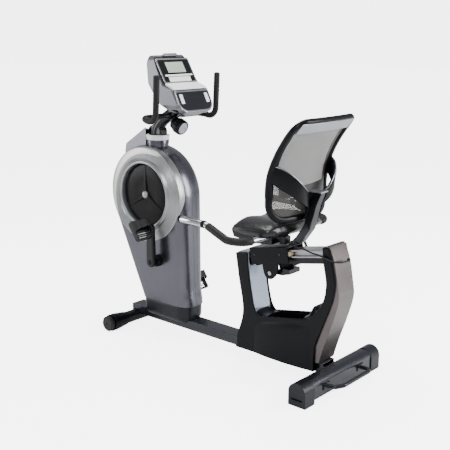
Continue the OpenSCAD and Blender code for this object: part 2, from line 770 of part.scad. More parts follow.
// Middle surface of the backrest: it leans back above and below the lumbar height, and its sides
// come forward round the rider
function hollow_depth(z) = z > back_low ? 80 - 60 * (z - back_low) / 340 : 80 - 35 * (back_low - z) / 110;
function back_surface(y, z) =
    back_x + back_bend * pow(z - back_low, 2) + hollow_depth(z) * (1 - pow(y / 240, 2));

module back_shell(front, rear) {
    heights = [for (i = [0:11]) 680 + i * 42];
    across = [for (i = [-5:5]) i * 48];
    cols = len(across);
    rows = len(heights);
    points = concat(
        [for (z = heights, y = across) [back_surface(y, z) + front, y, z]],
        [for (z = heights, y = across) [back_surface(y, z) + rear, y, z]]
    );
    far = rows * cols;
    faces = concat(
        [for (r = [0:rows - 2], c = [0:cols - 2])
            each [[r * cols + c, (r + 1) * cols + c, (r + 1) * cols + c + 1],
                [r * cols + c, (r + 1) * cols + c + 1, r * cols + c + 1]]],
        [for (r = [0:rows - 2], c = [0:cols - 2])
            each [[far + r * cols + c, far + (r + 1) * cols + c + 1, far + (r + 1) * cols + c],
                [far + r * cols + c, far + r * cols + c + 1, far + (r + 1) * cols + c + 1]]],
        [for (c = [0:cols - 2]) [c, c + 1, far + c + 1, far + c]],
        [for (c = [0:cols - 2]) let (t = (rows - 1) * cols) [t + c + 1, t + c, far + t + c, far + t + c + 1]],
        [for (r = [0:rows - 2]) [(r + 1) * cols, r * cols, far + r * cols, far + (r + 1) * cols]],
        [for (r = [0:rows - 2]) let (e = cols - 1)
            [r * cols + e, (r + 1) * cols + e, far + (r + 1) * cols + e, far + r * cols + e]]
    );
    polyhedron(points, faces);
}

module x_prism() {
    translate([250, 0, 0]) rotate([90, 0, 90]) linear_extrude(400) children();
}

module rounded_box(y, z0, z1, r_low, r_top) {
    hull() {
        for (s = [-1, 1]) translate([s * (y - r_low), z0 + r_low]) circle(r_low);
        for (s = [-1, 1]) translate([s * (y - r_top), z1 - r_top]) circle(r_top);
    }
}

// The opening that the mesh fills
module back_window(grow) {
    offset(delta = grow) rounded_box(back_half - 27, 724, 1086, 96, 20);
}

module back_frame() color(BLACK) intersection() {
    back_shell(-back_t / 2, back_t / 2);
    x_prism() difference() {
        rounded_box(back_half, 697, 1138, 120, 42);
        back_window(0);
    }
}

module back_mesh() color("#8b8a86") intersection() {
    back_shell(-1.5, 1.5);
    x_prism() back_window(-0.4);
}

// Block on the post and the two arms that carry the back frame
module back_support() color(SILVER) difference() {
    union() {
        slab(-32, 32) polygon([[438, 702], [448, 750], [458, 800], [459, 826], [487, 826], [471, 769],
            [456.5, 722], [449.5, 702]]);
        both() sweep([[458, -10, 806], [468, -36, 813], [486, -66, 826], [486, -120, 862],
            [472, -164, 912], [452, -186, 952]], 12, 12);
    }
    slab(-29.3, 29.3) translate([-0.3, 0]) post_outline();
}

module post_outline() {
    polygon([[362, 577], [384, 581], [410, 590], [429, 609], [480, 667], [500, 720], [516, 770],
        [538, 826], [488, 826], [472, 769], [457, 721], [434, 665], [383, 601], [362, 590]]);
}

module back_post() color("#6f7077") slab(-29, 29) post_outline();

module pulse_lead() color(BLACK) sweep(lead_route, 4, 8);

base_beam();
front_stabiliser();
front_caps();
rear_stabiliser();
rear_caps();
carry_handle();
base_fasteners();
housing(-1);  // housing_left
housing(1);  // housing_right
base_cover();
ring(-1);  // ring_left
ring(1);  // ring_right
gusset_cover();
neck_collar();
mast();
drive_belt();
brake_arm();
pedestal_cover(-1);  // pedestal_cover_left
pedestal_cover(1);  // pedestal_cover_right
front_leg_cover();
rear_leg_cover();
seat_frame();
bottle_tray();
seat_rail();
pulse_plug();
console_arm();
console_shell();
console_face();
console_lens();
display_module();
key_panel();
key(-1);  // key_left
key(1);  // key_right
transport_wheel(-1);  // transport_wheel_left
transport_wheel(1);  // transport_wheel_right
crank_axle();
drive_pulley();
crank(-1, 1);  // crank_left
crank(1, -1);  // crank_right
pedal(-1, 1);  // pedal_left
strap(-1, 1);  // strap_left
pedal(1, -1);  // pedal_right
strap(1, -1);  // strap_right
flywheel();
flywheel_discs();
handlebar();
bar_grips();
clamp_knob();
carriage();
rollers(-200);  // rollers_front
rollers(-60);  // rollers_rear
seat_lever();
seat_cushion();
back_post();
back_support();
back_frame();
back_mesh();
side_handle();
handle_grips();
pulse_lead();
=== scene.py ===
import math

import bmesh
import bpy
from mathutils import Matrix, Vector


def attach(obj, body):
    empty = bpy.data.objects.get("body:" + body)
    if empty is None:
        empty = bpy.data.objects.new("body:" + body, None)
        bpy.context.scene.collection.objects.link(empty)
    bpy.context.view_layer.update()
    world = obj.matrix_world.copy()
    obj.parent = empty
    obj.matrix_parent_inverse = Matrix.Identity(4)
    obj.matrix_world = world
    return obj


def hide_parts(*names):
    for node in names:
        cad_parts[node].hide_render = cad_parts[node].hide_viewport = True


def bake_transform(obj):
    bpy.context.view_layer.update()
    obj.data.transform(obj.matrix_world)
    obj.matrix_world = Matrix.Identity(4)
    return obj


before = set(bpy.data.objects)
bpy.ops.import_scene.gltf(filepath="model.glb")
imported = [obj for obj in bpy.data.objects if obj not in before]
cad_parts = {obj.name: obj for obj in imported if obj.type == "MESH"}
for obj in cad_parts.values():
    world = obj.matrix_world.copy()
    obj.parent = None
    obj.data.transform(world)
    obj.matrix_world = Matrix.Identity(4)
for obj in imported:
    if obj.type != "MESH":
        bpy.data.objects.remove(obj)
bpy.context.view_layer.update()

# Lengths in this file are millimetres, in the frame's axes, unless a name says otherwise.
MM = 0.001
WHEEL = Vector((-465, 0, 697))      # centre of the flywheel and of the trim rings
CRANK = Vector((-378, 0, 383))      # crank axle
CRANK_LEN = 170
DRUM = Vector((-475, 0, 690))       # centre of the housing's drum
DRUM_R = 250
DRUM_RIM = 38                       # rounding of the drum's edges
DRUM_HALF = 85                      # half width of the housing
SEAM = 0.7                          # half of the gap between its two halves
EYE_R = 166                         # round opening in each side of it
HOUSING_LOW = 168                   # its lower edge, which stands in the base cover
NECK_X = -452
BAR = (-352, 1082)                  # cross tube of the handlebar, in x and z
BAR_HALF = 200
KNOB_ROOT = Vector((-350, 0, 1055))
KNOB_TILT = math.radians(23.3)
RAIL_START = (400, 566)             # a point on top of the rail, in x and z
RAIL_SLOPE = math.radians(10.4)
RAIL_REAR = 178
LEG_HALF = 57.3                     # half width of the leg covers
SIDE_IN, SIDE_OUT = 57.6, 67        # faces of the pedestal's side plates
HANDLE_HALF = 311                   # from the middle to a side handle
CARRIAGE = (-224, -17)              # ends of the carriage, along the rail
CARRIAGE_HALF = 60
LEVER = (294, 446)                  # pivot of the seat lever, in x and z
SIDES = ((-1, "left"), (1, "right"))    # the rider's left is -Y


# ---------- camera ----------
def add_camera():
    data = bpy.data.cameras.new("camera")
    data.lens = 64.4
    data.sensor_width = 36
    camera = bpy.data.objects.new("camera", data)
    camera.location = (2.361, -2.710, 1.462)
    camera.rotation_euler = (math.radians(76.58), math.radians(-0.11), math.radians(41.31))
    bpy.context.collection.objects.link(camera)
    bpy.context.scene.camera = camera


add_camera()


# ---------- materials ----------
def material(name, colour, rough=0.4, metal=0.0, coat=0.0, grain=60.0, relief=0.1, mottle=0.12,
             rough_spread=0.08, shine=0.5):
    """A surface whose tone, roughness and fine relief all come from noise in object space."""
    mat = bpy.data.materials.new(name)
    mat.use_nodes = True
    nodes = mat.node_tree.nodes
    links = mat.node_tree.links
    shader = nodes["Principled BSDF"]
    shader.inputs["Metallic"].default_value = metal
    shader.inputs["Coat Weight"].default_value = coat
    shader.inputs["Coat Roughness"].default_value = 0.12
    shader.inputs["Specular IOR Level"].default_value = shine
    place = nodes.new("ShaderNodeTexCoord")
    broad = nodes.new("ShaderNodeTexNoise")
    broad.inputs["Scale"].default_value = 9
    broad.inputs["Detail"].default_value = 5
    fine = nodes.new("ShaderNodeTexNoise")
    fine.inputs["Scale"].default_value = grain * 10
    fine.inputs["Detail"].default_value = 3
    links.new(place.outputs["Object"], broad.inputs["Vector"])
    links.new(place.outputs["Object"], fine.inputs["Vector"])
    tone = nodes.new("ShaderNodeValToRGB")
    tone.color_ramp.elements[0].position = 0.3
    tone.color_ramp.elements[1].position = 0.7
    tone.color_ramp.elements[0].color = [c * (1 - mottle) for c in colour] + [1]
    tone.color_ramp.elements[1].color = [min(1, c * (1 + mottle)) for c in colour] + [1]
    links.new(broad.outputs["Fac"], tone.inputs["Fac"])
    links.new(tone.outputs["Color"], shader.inputs["Base Color"])
    polish = nodes.new("ShaderNodeMapRange")
    polish.inputs["To Min"].default_value = max(0.02, rough - rough_spread)
    polish.inputs["To Max"].default_value = min(1, rough + rough_spread)
    links.new(fine.outputs["Fac"], polish.inputs["Value"])
    links.new(polish.outputs["Result"], shader.inputs["Roughness"])
    bump = nodes.new("ShaderNodeBump")
    bump.inputs["Strength"].default_value = relief
    bump.inputs["Distance"].default_value = 0.0006
    links.new(fine.outputs["Fac"], bump.inputs["Height"])
    links.new(bump.outputs["Normal"], shader.inputs["Normal"])
    return mat


def weave(name, colour, pitch_mm, cover):
    """See-through net: threads both ways, with open holes between them."""
    mat = material(name, colour, rough=0.75, relief=0.05, mottle=0.08)
    nodes = mat.node_tree.nodes
    links = mat.node_tree.links
    place = nodes["Texture Coordinate"]
    split = nodes.new("ShaderNodeSeparateXYZ")
    links.new(place.outputs["Object"], split.inputs["Vector"])
    threads = []
    for axis in "YZ":
        wave = nodes.new("ShaderNodeMath")
        wave.operation = "MULTIPLY"
        wave.inputs[1].default_value = 2 * math.pi / (pitch_mm * MM)
        links.new(split.outputs[axis], wave.inputs[0])
        sine = nodes.new("ShaderNodeMath")
        sine.operation = "SINE"
        links.new(wave.outputs[0], sine.inputs[0])
        thread = nodes.new("ShaderNodeMath")
        thread.operation = "GREATER_THAN"
        thread.inputs[1].default_value = cover
        links.new(sine.outputs[0], thread.inputs[0])
        threads.append(thread)
    both = nodes.new("ShaderNodeMath")
    both.operation = "MAXIMUM"
    links.new(threads[0].outputs[0], both.inputs[0])
    links.new(threads[1].outputs[0], both.inputs[1])
    links.new(both.outputs[0], nodes["Principled BSDF"].inputs["Alpha"])
    return mat


FINISH = {
    "black_cover": dict(colour=(0.0028, 0.003, 0.0042), rough=0.3, grain=90, relief=0.1, shine=0.13),
    "gloss_black": dict(colour=(0.0028, 0.0028, 0.0036), rough=0.2, relief=0.04, shine=0.3),
    "silver_plastic": dict(colour=(0.27, 0.275, 0.28), rough=0.32, metal=0.8, grain=120, relief=0.05),
    "pale_plastic": dict(colour=(0.80, 0.80, 0.81), rough=0.3, relief=0.03, mottle=0.03),
    "crescent": dict(colour=(0.50, 0.49, 0.46), rough=0.36, metal=0.7, relief=0.04, mottle=0.06),
    "housing_paint": dict(colour=(0.086, 0.085, 0.102), rough=0.27, metal=0.9, coat=0.3, grain=150,
                          relief=0.04, mottle=0.05),
    "shell_paint": dict(colour=(0.15, 0.15, 0.165), rough=0.33, metal=0.7, relief=0.04, mottle=0.05),
    "graphite_plastic": dict(colour=(0.100, 0.086, 0.084), rough=0.33, metal=0.75, coat=0.2, relief=0.05),
    "cover_paint": dict(colour=(0.010, 0.011, 0.015), rough=0.3, metal=0.3, relief=0.06, shine=0.3),
    "silver_paint": dict(colour=(0.30, 0.31, 0.34), rough=0.3, metal=0.75, relief=0.05),
    "leg_silver": dict(colour=(0.30, 0.34, 0.42), rough=0.26, metal=0.75, relief=0.05, mottle=0.05),
    "post_paint": dict(colour=(0.012, 0.013, 0.018), rough=0.26, metal=0.4, relief=0.05),
    "stabiliser_paint": dict(colour=(0.010, 0.012, 0.018), rough=0.24, metal=0.35, coat=0.2, relief=0.05),
    "dark_paint": dict(colour=(0.004, 0.0042, 0.005), rough=0.32, relief=0.1, shine=0.28),
    "rail_metal": dict(colour=(0.34, 0.34, 0.36), rough=0.3, metal=0.95, relief=0.08),
    "chrome": dict(colour=(0.60, 0.60, 0.62), rough=0.13, metal=1.0, relief=0.02, rough_spread=0.04),
    "tube_silver": dict(colour=(0.30, 0.32, 0.36), rough=0.22, metal=0.9, relief=0.04),
    "iron": dict(colour=(0.10, 0.10, 0.11), rough=0.45, metal=0.9, relief=0.2),
    "steel": dict(colour=(0.40, 0.40, 0.42), rough=0.3, metal=1.0, relief=0.1),
    "pulley": dict(colour=(0.03, 0.03, 0.034), rough=0.5, relief=0.2, shine=0.3),
    "rubber": dict(colour=(0.008, 0.008, 0.009), rough=0.55, relief=0.3, grain=70, shine=0.3),
    "foam": dict(colour=(0.0045, 0.0043, 0.0046), rough=0.55, relief=0.6, grain=45, mottle=0.25, shine=0.28),
    "vinyl": dict(colour=(0.007, 0.0066, 0.0075), rough=0.3, relief=0.3, grain=35, shine=0.4),
    "lcd": dict(colour=(0.34, 0.40, 0.33), rough=0.5, relief=0.02, mottle=0.05, shine=0.2),
    "disc_black": dict(colour=(0.0025, 0.0025, 0.003), rough=0.26, relief=0.08, shine=0.1),
    "beige": dict(colour=(0.52, 0.42, 0.25), rough=0.45, relief=0.1),
}
PAINTS = {name: material(name, **finish) for name, finish in FINISH.items()}
PAINTS["web"] = weave("web", (0.060, 0.057, 0.053), 3.2, -0.72)


def paint(piece, name):
    piece.data.materials.clear()
    piece.data.materials.append(PAINTS[name])


# ---------- mesh helpers ----------
def add(name, verts, faces, body, colour, crease=38, bevel=0.0, segments=3, node=None):
    """A new piece that rides on a body, in place of a CAD node. Edges sharper than crease degrees stay sharp
    unless they are bevelled."""
    mesh = bpy.data.meshes.new(name)
    mesh.from_pydata([Vector(v) * MM for v in verts], [], [tuple(f) for f in faces])
    piece = bpy.data.objects.new(name, mesh)
    bpy.context.collection.objects.link(piece)
    tidy(piece, crease)
    if bevel:
        soften(piece, bevel, segments, crease)
    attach(piece, body)
    paint(piece, colour)
    if node:
        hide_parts(node)
    return piece


def tidy(piece, crease=38):
    bm = bmesh.new()
    bm.from_mesh(piece.data)
    bmesh.ops.remove_doubles(bm, verts=bm.verts, dist=1e-5)
    bmesh.ops.recalc_face_normals(bm, faces=bm.faces)
    for face in bm.faces:
        face.smooth = True
    for edge in bm.edges:
        edge.smooth = len(edge.link_faces) == 2 and edge.calc_face_angle(0) < math.radians(crease)
    bm.to_mesh(piece.data)
    bm.free()


def soften(piece, width, segments=3, angle=38):
    edge = piece.modifiers.new("round", "BEVEL")
    edge.width = width * MM
    edge.segments = segments
    edge.limit_method = "ANGLE"
    edge.angle_limit = math.radians(angle)
    edge.miter_outer = "MITER_ARC"
    normals = piece.modifiers.new("normals", "WEIGHTED_NORMAL")
    normals.keep_sharp = False


def apply_all(piece):
    """Bakes the piece's modifiers into its mesh."""
    graph = bpy.context.evaluated_depsgraph_get()
    mesh = bpy.data.meshes.new_from_object(piece.evaluated_get(graph))
    piece.modifiers.clear()
    piece.data = mesh


def arc_polygon(centre, radius, start, end, count):
    return [(centre[0] + radius * math.cos(math.radians(start + (end - start) * i / count)),
             centre[1] + radius * math.sin(math.radians(start + (end - start) * i / count)))
            for i in range(count + 1)]


def smooth_line(points, per_span=6, closed=False):
    """A curve through the points."""
    points = [Vector(p) for p in points]
    count = len(points)
    line = []
    spans = count if closed else count - 1
    for i in range(spans):
        if closed:
            a, b, c, d = (points[(i + k) % count] for k in (-1, 0, 1, 2))
        else:
            b, c = points[i], points[i + 1]
            a = points[i - 1] if i else b - (c - b)
            d = points[i + 2] if i + 2 < count else c + (c - b)
        for step in range(per_span):
            t = step / per_span
            line.append(0.5 * (2 * b + (c - a) * t + (2 * a - 5 * b + 4 * c - d) * t * t
                               + (3 * b - a - 3 * c + d) * t ** 3))
    if not closed:
        line.append(points[-1])
    return line


def filleted(points, radius, steps=8):
    """The corners of a route turned into arcs."""
    points = [Vector(p) for p in points]
    line = [points[0]]
    for a, b, c in zip(points, points[1:], points[2:]):
        u = (a - b).normalized()
        v = (c - b).normalized()
        half = u.angle(v) / 2
        cut = radius / math.tan(half)
        centre = b + (u + v).normalized() * radius / math.sin(half)
        p = b + u * cut - centre
        q = b + v * cut - centre
        turn = p.angle(q)
        for i in range(steps + 1):
            t = i / steps
            line.append(centre + (p * math.sin(turn * (1 - t)) + q * math.sin(turn * t)) / math.sin(turn))
    line.append(points[-1])
    return line


def tube(path, radius, sides=24, round_ends=True):
    """A round tube along the path, with domed ends."""
    path = [Vector(p) for p in path]
    if round_ends:
        first = (path[0] - path[1]).normalized()
        last = (path[-1] - path[-2]).normalized()
        dome = [(math.sin(math.radians(a)), math.cos(math.radians(a))) for a in (80, 60, 40, 20)]
        reach = 0.45
        head = [(path[0] + first * radius * reach * s, radius * c) for s, c in dome]
        tail = [(path[-1] + last * radius * reach * s, radius * c) for s, c in reversed(dome)]
        rings = head + [(p, radius) for p in path] + tail
    else:
        rings = [(p, radius) for p in path]
    centres = [c for c, r in rings]
    verts = []
    normal = None
    for i, (centre, r) in enumerate(rings):
        ahead = centres[min(i + 1, len(rings) - 1)] - centres[max(i - 1, 0)]
        ahead.normalize()
        if normal is None:
            normal = ahead.orthogonal().normalized()
        normal = (normal - ahead * normal.dot(ahead)).normalized()
        side = ahead.cross(normal)
        for k in range(sides):
            a = 2 * math.pi * k / sides
            verts.append(centre + r * (math.cos(a) * normal + math.sin(a) * side))
    faces = grid_faces(len(rings), sides, wrap=True)
    faces.append(range(sides))
    faces.append(range((len(rings) - 1) * sides, len(rings) * sides))
    return verts, faces


def grid_faces(rows, columns, wrap=False, close=False):
    faces = []
    for i in range(rows if close else rows - 1):
        for k in range(columns if wrap else columns - 1):
            i1 = (i + 1) % rows
            k1 = (k + 1) % columns
            faces.append((i * columns + k, i1 * columns + k, i1 * columns + k1, i * columns + k1))
    return faces


def two_skins(rows, columns):
    """Faces of a plate given as two grids of points, one after the other, closed round the edge."""
    count = (rows + 1) * (columns + 1)
    front = grid_faces(rows + 1, columns + 1)
    edge = (list(range(columns + 1)) + [i * (columns + 1) + columns for i in range(1, rows + 1)]
            + [rows * (columns + 1) + k for k in range(columns - 1, -1, -1)]
            + [i * (columns + 1) for i in range(rows - 1, 0, -1)])
    return (front + [tuple(reversed([count + q for q in f])) for f in front]
            + [(a, b, count + b, count + a) for a, b in zip(edge, edge[1:] + edge[:1])])


def revolve(profile, centre, sign=1, sides=96, closed=False):
    """A profile of (radius, distance out) turned about the Y axis through centre. sign -1 faces the left."""
    verts = []
    for r, out in profile:
        for k in range(sides):
            a = 2 * math.pi * k / sides
            verts.append(Vector(centre) + Vector((r * math.cos(a), sign * out, r * math.sin(a))))
    faces = grid_faces(len(profile), sides, wrap=True, close=closed)
    if not closed:
        faces.append(range(sides))
        faces.append(range((len(profile) - 1) * sides, len(profile) * sides))
    return verts, faces


def prism(outline, y0, y1):
    """A side view outline of (x, z), extruded from y0 to y1."""
    count = len(outline)
    verts = [(x, y, z) for y in (y0, y1) for x, z in outline]
    faces = [(i, (i + 1) % count, count + (i + 1) % count, count + i) for i in range(count)]
    return verts, faces + [range(count), range(count, 2 * count)]


def box(low, high):
    return prism([(low[0], low[2]), (high[0], low[2]), (high[0], high[2]), (low[0], high[2])], low[1],
                 high[1])


def tool(verts, faces):
    """A mesh with no paint, mostly used for cutting."""
    mesh = bpy.data.meshes.new("tool")
    mesh.from_pydata([Vector(v) * MM for v in verts], [], [tuple(f) for f in faces])
    piece = bpy.data.objects.new("tool", mesh)
    bpy.context.collection.objects.link(piece)
    tidy(piece)
    return piece


def cut(piece, *tools):
    for cutter in tools:
        step = piece.modifiers.new("cut", "BOOLEAN")
        step.operation = "DIFFERENCE"
        step.solver = "EXACT"
        step.object = cutter
    apply_all(piece)
    for cutter in tools:
        bpy.data.objects.remove(cutter)
    tidy(piece, 30)


def turned(local, origin, lean):
    """A point given across, along and out of a plane that leans back by lean degrees about Y."""
    a = math.radians(-lean)
    x, y, z = local
    return Vector(origin) + Vector((x * math.cos(a) + z * math.sin(a), y, -x * math.sin(a) + z * math.cos(a)))


# ---------- the pulse lead ----------
LEAD = [(388, -36, 594), (396, -38, 588), (408, -40, 584), (422, -42, 582), (438, -44, 582),
        (456, -47, 583), (474, -52, 582), (494, -58, 580), (514, -66, 580), (532, -73, 580),
        (552, -76, 580), (574, -76, 576), (596, -76, 570), (616, -74, 566), (634, -66, 562),
        (648, -50, 560), (655, -32, 560), (658, -14, 560), (658.5, 4, 560)]


def pulse_lead():
    path = smooth_line(LEAD, 6)
    verts, faces = tube(path, 3.6, 12, round_ends=False)
    mesh = bpy.data.meshes.new("pulse_lead_visual")
    mesh.from_pydata([v * MM for v in verts], [], [tuple(f) for f in faces])
    lead = bpy.data.objects.new("pulse_lead_visual", mesh)
    bpy.context.collection.objects.link(lead)
    tidy(lead)
    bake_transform(lead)
    paint(lead, "rubber")
    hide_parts("pulse_lead")


pulse_lead()


# ---------- drive housing ----------
def hull_object(points, voxel_mm):
    bm = bmesh.new()
    for p in points:
        bm.verts.new(Vector(p) * MM)
    bmesh.ops.convex_hull(bm, input=bm.verts)
    loose = [v for v in bm.verts if not v.link_faces]
    bmesh.ops.delete(bm, geom=loose, context="VERTS")
    mesh = bpy.data.meshes.new("hull")
    bm.to_mesh(mesh)
    bm.free()
    piece = bpy.data.objects.new("hull", mesh)
    bpy.context.collection.objects.link(piece)
    remesh = piece.modifiers.new("remesh", "REMESH")
    remesh.mode = "VOXEL"
    remesh.voxel_size = voxel_mm * MM
    smooth = piece.modifiers.new("smooth", "SMOOTH")
    smooth.factor = 0.5
    smooth.iterations = 6
    apply_all(piece)
    return piece


def circle(x, y, z, r, count=48):
    return [(x + r * math.cos(2 * math.pi * k / count), y + r * math.sin(2 * math.pi * k / count), z)
            for k in range(count)]


def stack(x, half, z, r):
    """Two circles of a flat outline, one to each side."""
    return circle(x, -half, z, r) + circle(x, half, z, r)


def lower_outline(z, grow):
    """The foot of the housing, as seen from above."""
    return stack(-470, 44, z, 30 + grow) + stack(-264, 18, z, 56 + grow)


def housing_points(grow):
    half = DRUM_HALF + grow
    r = DRUM_R + grow
    rim = DRUM_RIM + grow
    points = []
    for i in range(25):
        a = math.radians(-90 + 7.5 * i)
        for k in range(120):
            b = 2 * math.pi * k / 120
            q = r - rim + rim * math.cos(a)
            points.append((DRUM.x + q * math.cos(b), half * math.sin(a), DRUM.z + q * math.sin(b)))
    points += lower_outline(150, grow)
    for z in (400, 600):
        points += stack(-262, 24, z, 40 + grow)
    return points


def housing():
    body = hull_object(housing_points(0), 5)
    inner = hull_object(housing_points(-5), 6)
    for v in inner.data.vertices:
        if v.co.z < 0.175:
            v.co.z = 0.120
    for v in body.data.vertices:
        flare = max(0.0, 1 - abs(v.co.z - 0.175) / 0.085) if v.co.z < 0.26 else 0.0
        lip = flare * flare * (3 - 2 * flare) * max(0.0, min(1.0, (v.co.x + 0.36) / 0.08))
        v.co.x += 0.010 * lip
    floor_cut = tool(*box((-800, -200, 60), (0, 200, HOUSING_LOW)))
    eye = tool(*revolve([(EYE_R, -150), (EYE_R, 150)], WHEEL, sides=96))
    axle = tool(*revolve([(12, -150), (12, 150)], CRANK, sides=32))
    mouth = tool(*revolve([(40, -60), (40, 200)], (0, 0, 0), sides=48))
    mouth.matrix_world = Matrix.Translation((NECK_X * MM, 0, 0.88)) @ Matrix.Rotation(math.pi / 2, 4, "X")
    bpy.context.view_layer.update()
    cut(body, inner, floor_cut, eye, axle, mouth)
    for side, name in SIDES:
        half = body.copy()
        half.data = body.data.copy()
        half.name = "housing_shell_" + name
        bpy.context.collection.objects.link(half)
        bm = bmesh.new()
        bm.from_mesh(half.data)
        everything = bm.verts[:] + bm.edges[:] + bm.faces[:]
        bmesh.ops.bisect_plane(bm, geom=everything, plane_co=(0, SEAM * MM * side, 0), plane_no=(0, side, 0),
                               clear_inner=True)
        bm.to_mesh(half.data)
        bm.free()
        tidy(half, 30)
        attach(half, "base")
        paint(half, "housing_paint")
        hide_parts("housing_" + name)
        add("housing_neck_" + name, *neck_half(side), "base", "housing_paint", 30, node="housing_" + name)
    bpy.data.objects.remove(body)


def neck_half(side):
    """Half of the tapering collar seat that the mast comes out of."""
    profile = [(62, 872), (50, 900), (51, 930), (55, 957), (54, 960), (41, 960), (41, 872)]
    verts = []
    for r, z in profile:
        for k in range(33):
            a = math.pi * k / 32
            verts.append((NECK_X + r * math.cos(a), side * (SEAM + r * math.sin(a)), z))
    return verts, grid_faces(len(profile), 33, close=True) + [
        [i * 33 for i in range(len(profile))], [i * 33 + 32 for i in range(len(profile))]]


housing()
for side, name in SIDES:
    profile = [(11.5, 40), (30, 40), (29, 104), (25, 111), (11.5, 111)]
    add("axle_boss_" + name, *revolve(profile, CRANK, side, 48, closed=True), "base", "black_cover", 40,
        node="housing_" + name)


RING_RIDGES = 7


def ring_profile(outer):
    """Inner lip, bevel, ridged face and outer wall, as (radius, distance out)."""
    face = [(153, 70), (153, 92), (155, 95.5), (160, 97), (165, 95.5), (169, 89), (173, 85.5), (177, 87.5)]
    ridges = []
    width = outer - 8 - 180
    for i in range(97):
        t = i / 96
        ridge = 0.9 * (1 - math.cos(2 * math.pi * RING_RIDGES * t))
        ridges.append((180 + width * t, 92.5 - 4.5 * t * t - ridge))
    return face + ridges + [(outer - 5, 87), (outer - 1.5, 84), (outer, 80), (outer, 44), (outer - 6, 44)]


def crescent():
    """Plain bright plate over the upper front of the ridges of the left-hand ring."""
    verts = []
    rows = 72
    for i in range(rows + 1):
        t = i / rows
        a = math.radians(60 + 156 * t)
        thick = math.sin(math.pi * t) ** 0.55
        inner = 229 - 40 * thick
        for reach, lift in ((0, 0), (0.03, 2.4), (0.12, 3.2), (0.88, 3.2), (0.97, 2.4), (1, 0)):
            r = inner + (231 - inner) * reach
            base = 92.5 - 4.5 * ((r - 180) / 46) ** 2
            verts.append(WHEEL + Vector((r * math.cos(a), -(base - 1.6 + lift), r * math.sin(a))))
    return verts, grid_faces(rows + 1, 6)


for side, name, outer in ((-1, "left", 234), (1, "right", 200)):
    add("trim_ring_" + name, *revolve(ring_profile(outer), WHEEL, side, sides=144, closed=True), "base",
        "silver_plastic", 60, node="ring_" + name)
add("ring_crescent", *crescent(), "base", "crescent", 60, node="ring_left")


def wheel_disc(side, name):
    profile = [(0.5, 78), (18, 78), (22, 75), (30, 74), (70, 77), (120, 77), (138, 75), (146, 74),
               (149.5, 71),
               (150, 58)]
    add("wheel_disc_" + name, *revolve(profile, WHEEL, side, sides=96), "flywheel", "disc_black", 40,
        node="flywheel_discs")
    for number, angle in enumerate((90, 210, 330)):
        a = math.radians(angle)
        along = Vector((math.cos(a), 0, math.sin(a)))
        across = Vector((-math.sin(a), 0, math.cos(a)))
        verts = []
        for d, w, h in ((14, 17, 8), (60, 12, 7), (110, 9, 5), (141, 7, 1)):
            for s, up in ((-1, 0), (-0.55, 1), (0.55, 1), (1, 0)):
                verts.append(WHEEL + along * d + across * w * s + Vector((0, side * (75 + h * up), 0)))
        add("disc_rib_%s_%d" % (name, number), verts, grid_faces(4, 4) + [(0, 1, 2, 3), (12, 13, 14, 15)],
            "flywheel", "disc_black", 30, bevel=1.5, node="flywheel_discs")
    profile = [(0.5, 91), (8, 90.5), (14, 88), (18, 83), (19.5, 78), (19.5, 73)]
    add("disc_hub_" + name, *revolve(profile, WHEEL, side, sides=48), "flywheel", "silver_plastic", 50,
        node="flywheel_discs")


for side, name in SIDES:
    wheel_disc(side, name)


def base_cover():
    """Dark tub under the housing, with a round lower edge."""
    points = []
    for z, grow in ((80, -26), (84, -16), (92, -7), (104, -1), (120, 1.5), (168, 2)):
        points += lower_outline(z, grow)
    tub = hull_object(points, 3.5)
    tub.name = "base_tub"
    tidy(tub, 60)
    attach(tub, "base")
    paint(tub, "cover_paint")
    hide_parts("base_cover")


base_cover()


# ---------- pedestal ----------
LEG_FRONT = [(112, 118), (142, 208), (145, 278), (123, 387), (102, 508)]
LEG_FRONT_BACK = [(172, 520), (176, 454), (194, 345), (214, 268), (236, 236)]
LEG_REAR_FRONT = [(494, 284), (521, 300), (574, 374), (589, 456), (574, 541), (566, 610)]
LEG_REAR_SPLIT = [(600, 614), (622, 525), (633, 465), (621, 385), (583, 281), (543, 173)]
LEG_REAR_BACK = [(625, 552), (644, 456), (650, 393), (626, 302), (585, 183), (560, 100)]


def curve2(points, per_span=5):
    return [(v.x, v.y) for v in smooth_line([(x, z, 0) for x, z in points], per_span)]


def pedestal():
    outline = (curve2(LEG_FRONT) + curve2(LEG_FRONT_BACK) + curve2(LEG_REAR_FRONT)
               + curve2(LEG_REAR_SPLIT) + [(540, 58), (112, 58)])
    for side, name in SIDES:
        add("pedestal_side_" + name, *prism(outline, side * SIDE_IN, side * SIDE_OUT), "base",
            "black_cover", 35, bevel=5, segments=4, node="pedestal_cover_" + name)
    body = add("pedestal_body", *pedestal_lump(), "base", "black_cover", 45)
    cut(body, tool(*box((275, -54, 176), (472, 54, 330))), tool(*box((50, -40.3, 40), (620, 40.3, 98.3))))
    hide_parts("pedestal_cover_left", "pedestal_cover_right")


def pedestal_lump():
    """The bulging body between the legs: its shoulders are round, and it narrows into each leg."""
    verts = []
    rows, around = 40, 36
    x0, x1 = 196, 540
    for i in range(rows + 1):
        t = i / rows
        x = x0 + (x1 - x0) * t
        wide = 58 + 19 * math.sin(math.pi * t) ** 0.45
        top = 238 + 0.1765 * (x - 240) + 60 * math.exp(-(x - x0) / 14) + 60 * math.exp(-(x1 - 24 - x) / 20)
        top = min(top, 340)
        for k in range(around + 1):
            a = math.pi * k / around
            y = math.copysign(abs(math.cos(a)) ** 0.42, math.cos(a)) * wide
            verts.append((x, y, 60 + (top - 60) * math.sin(a) ** 0.30))
    faces = grid_faces(rows + 1, around + 1, wrap=True)
    count = (rows + 1) * (around + 1)
    return verts, faces + [range(around + 1), range(count - around - 1, count)]


pedestal()


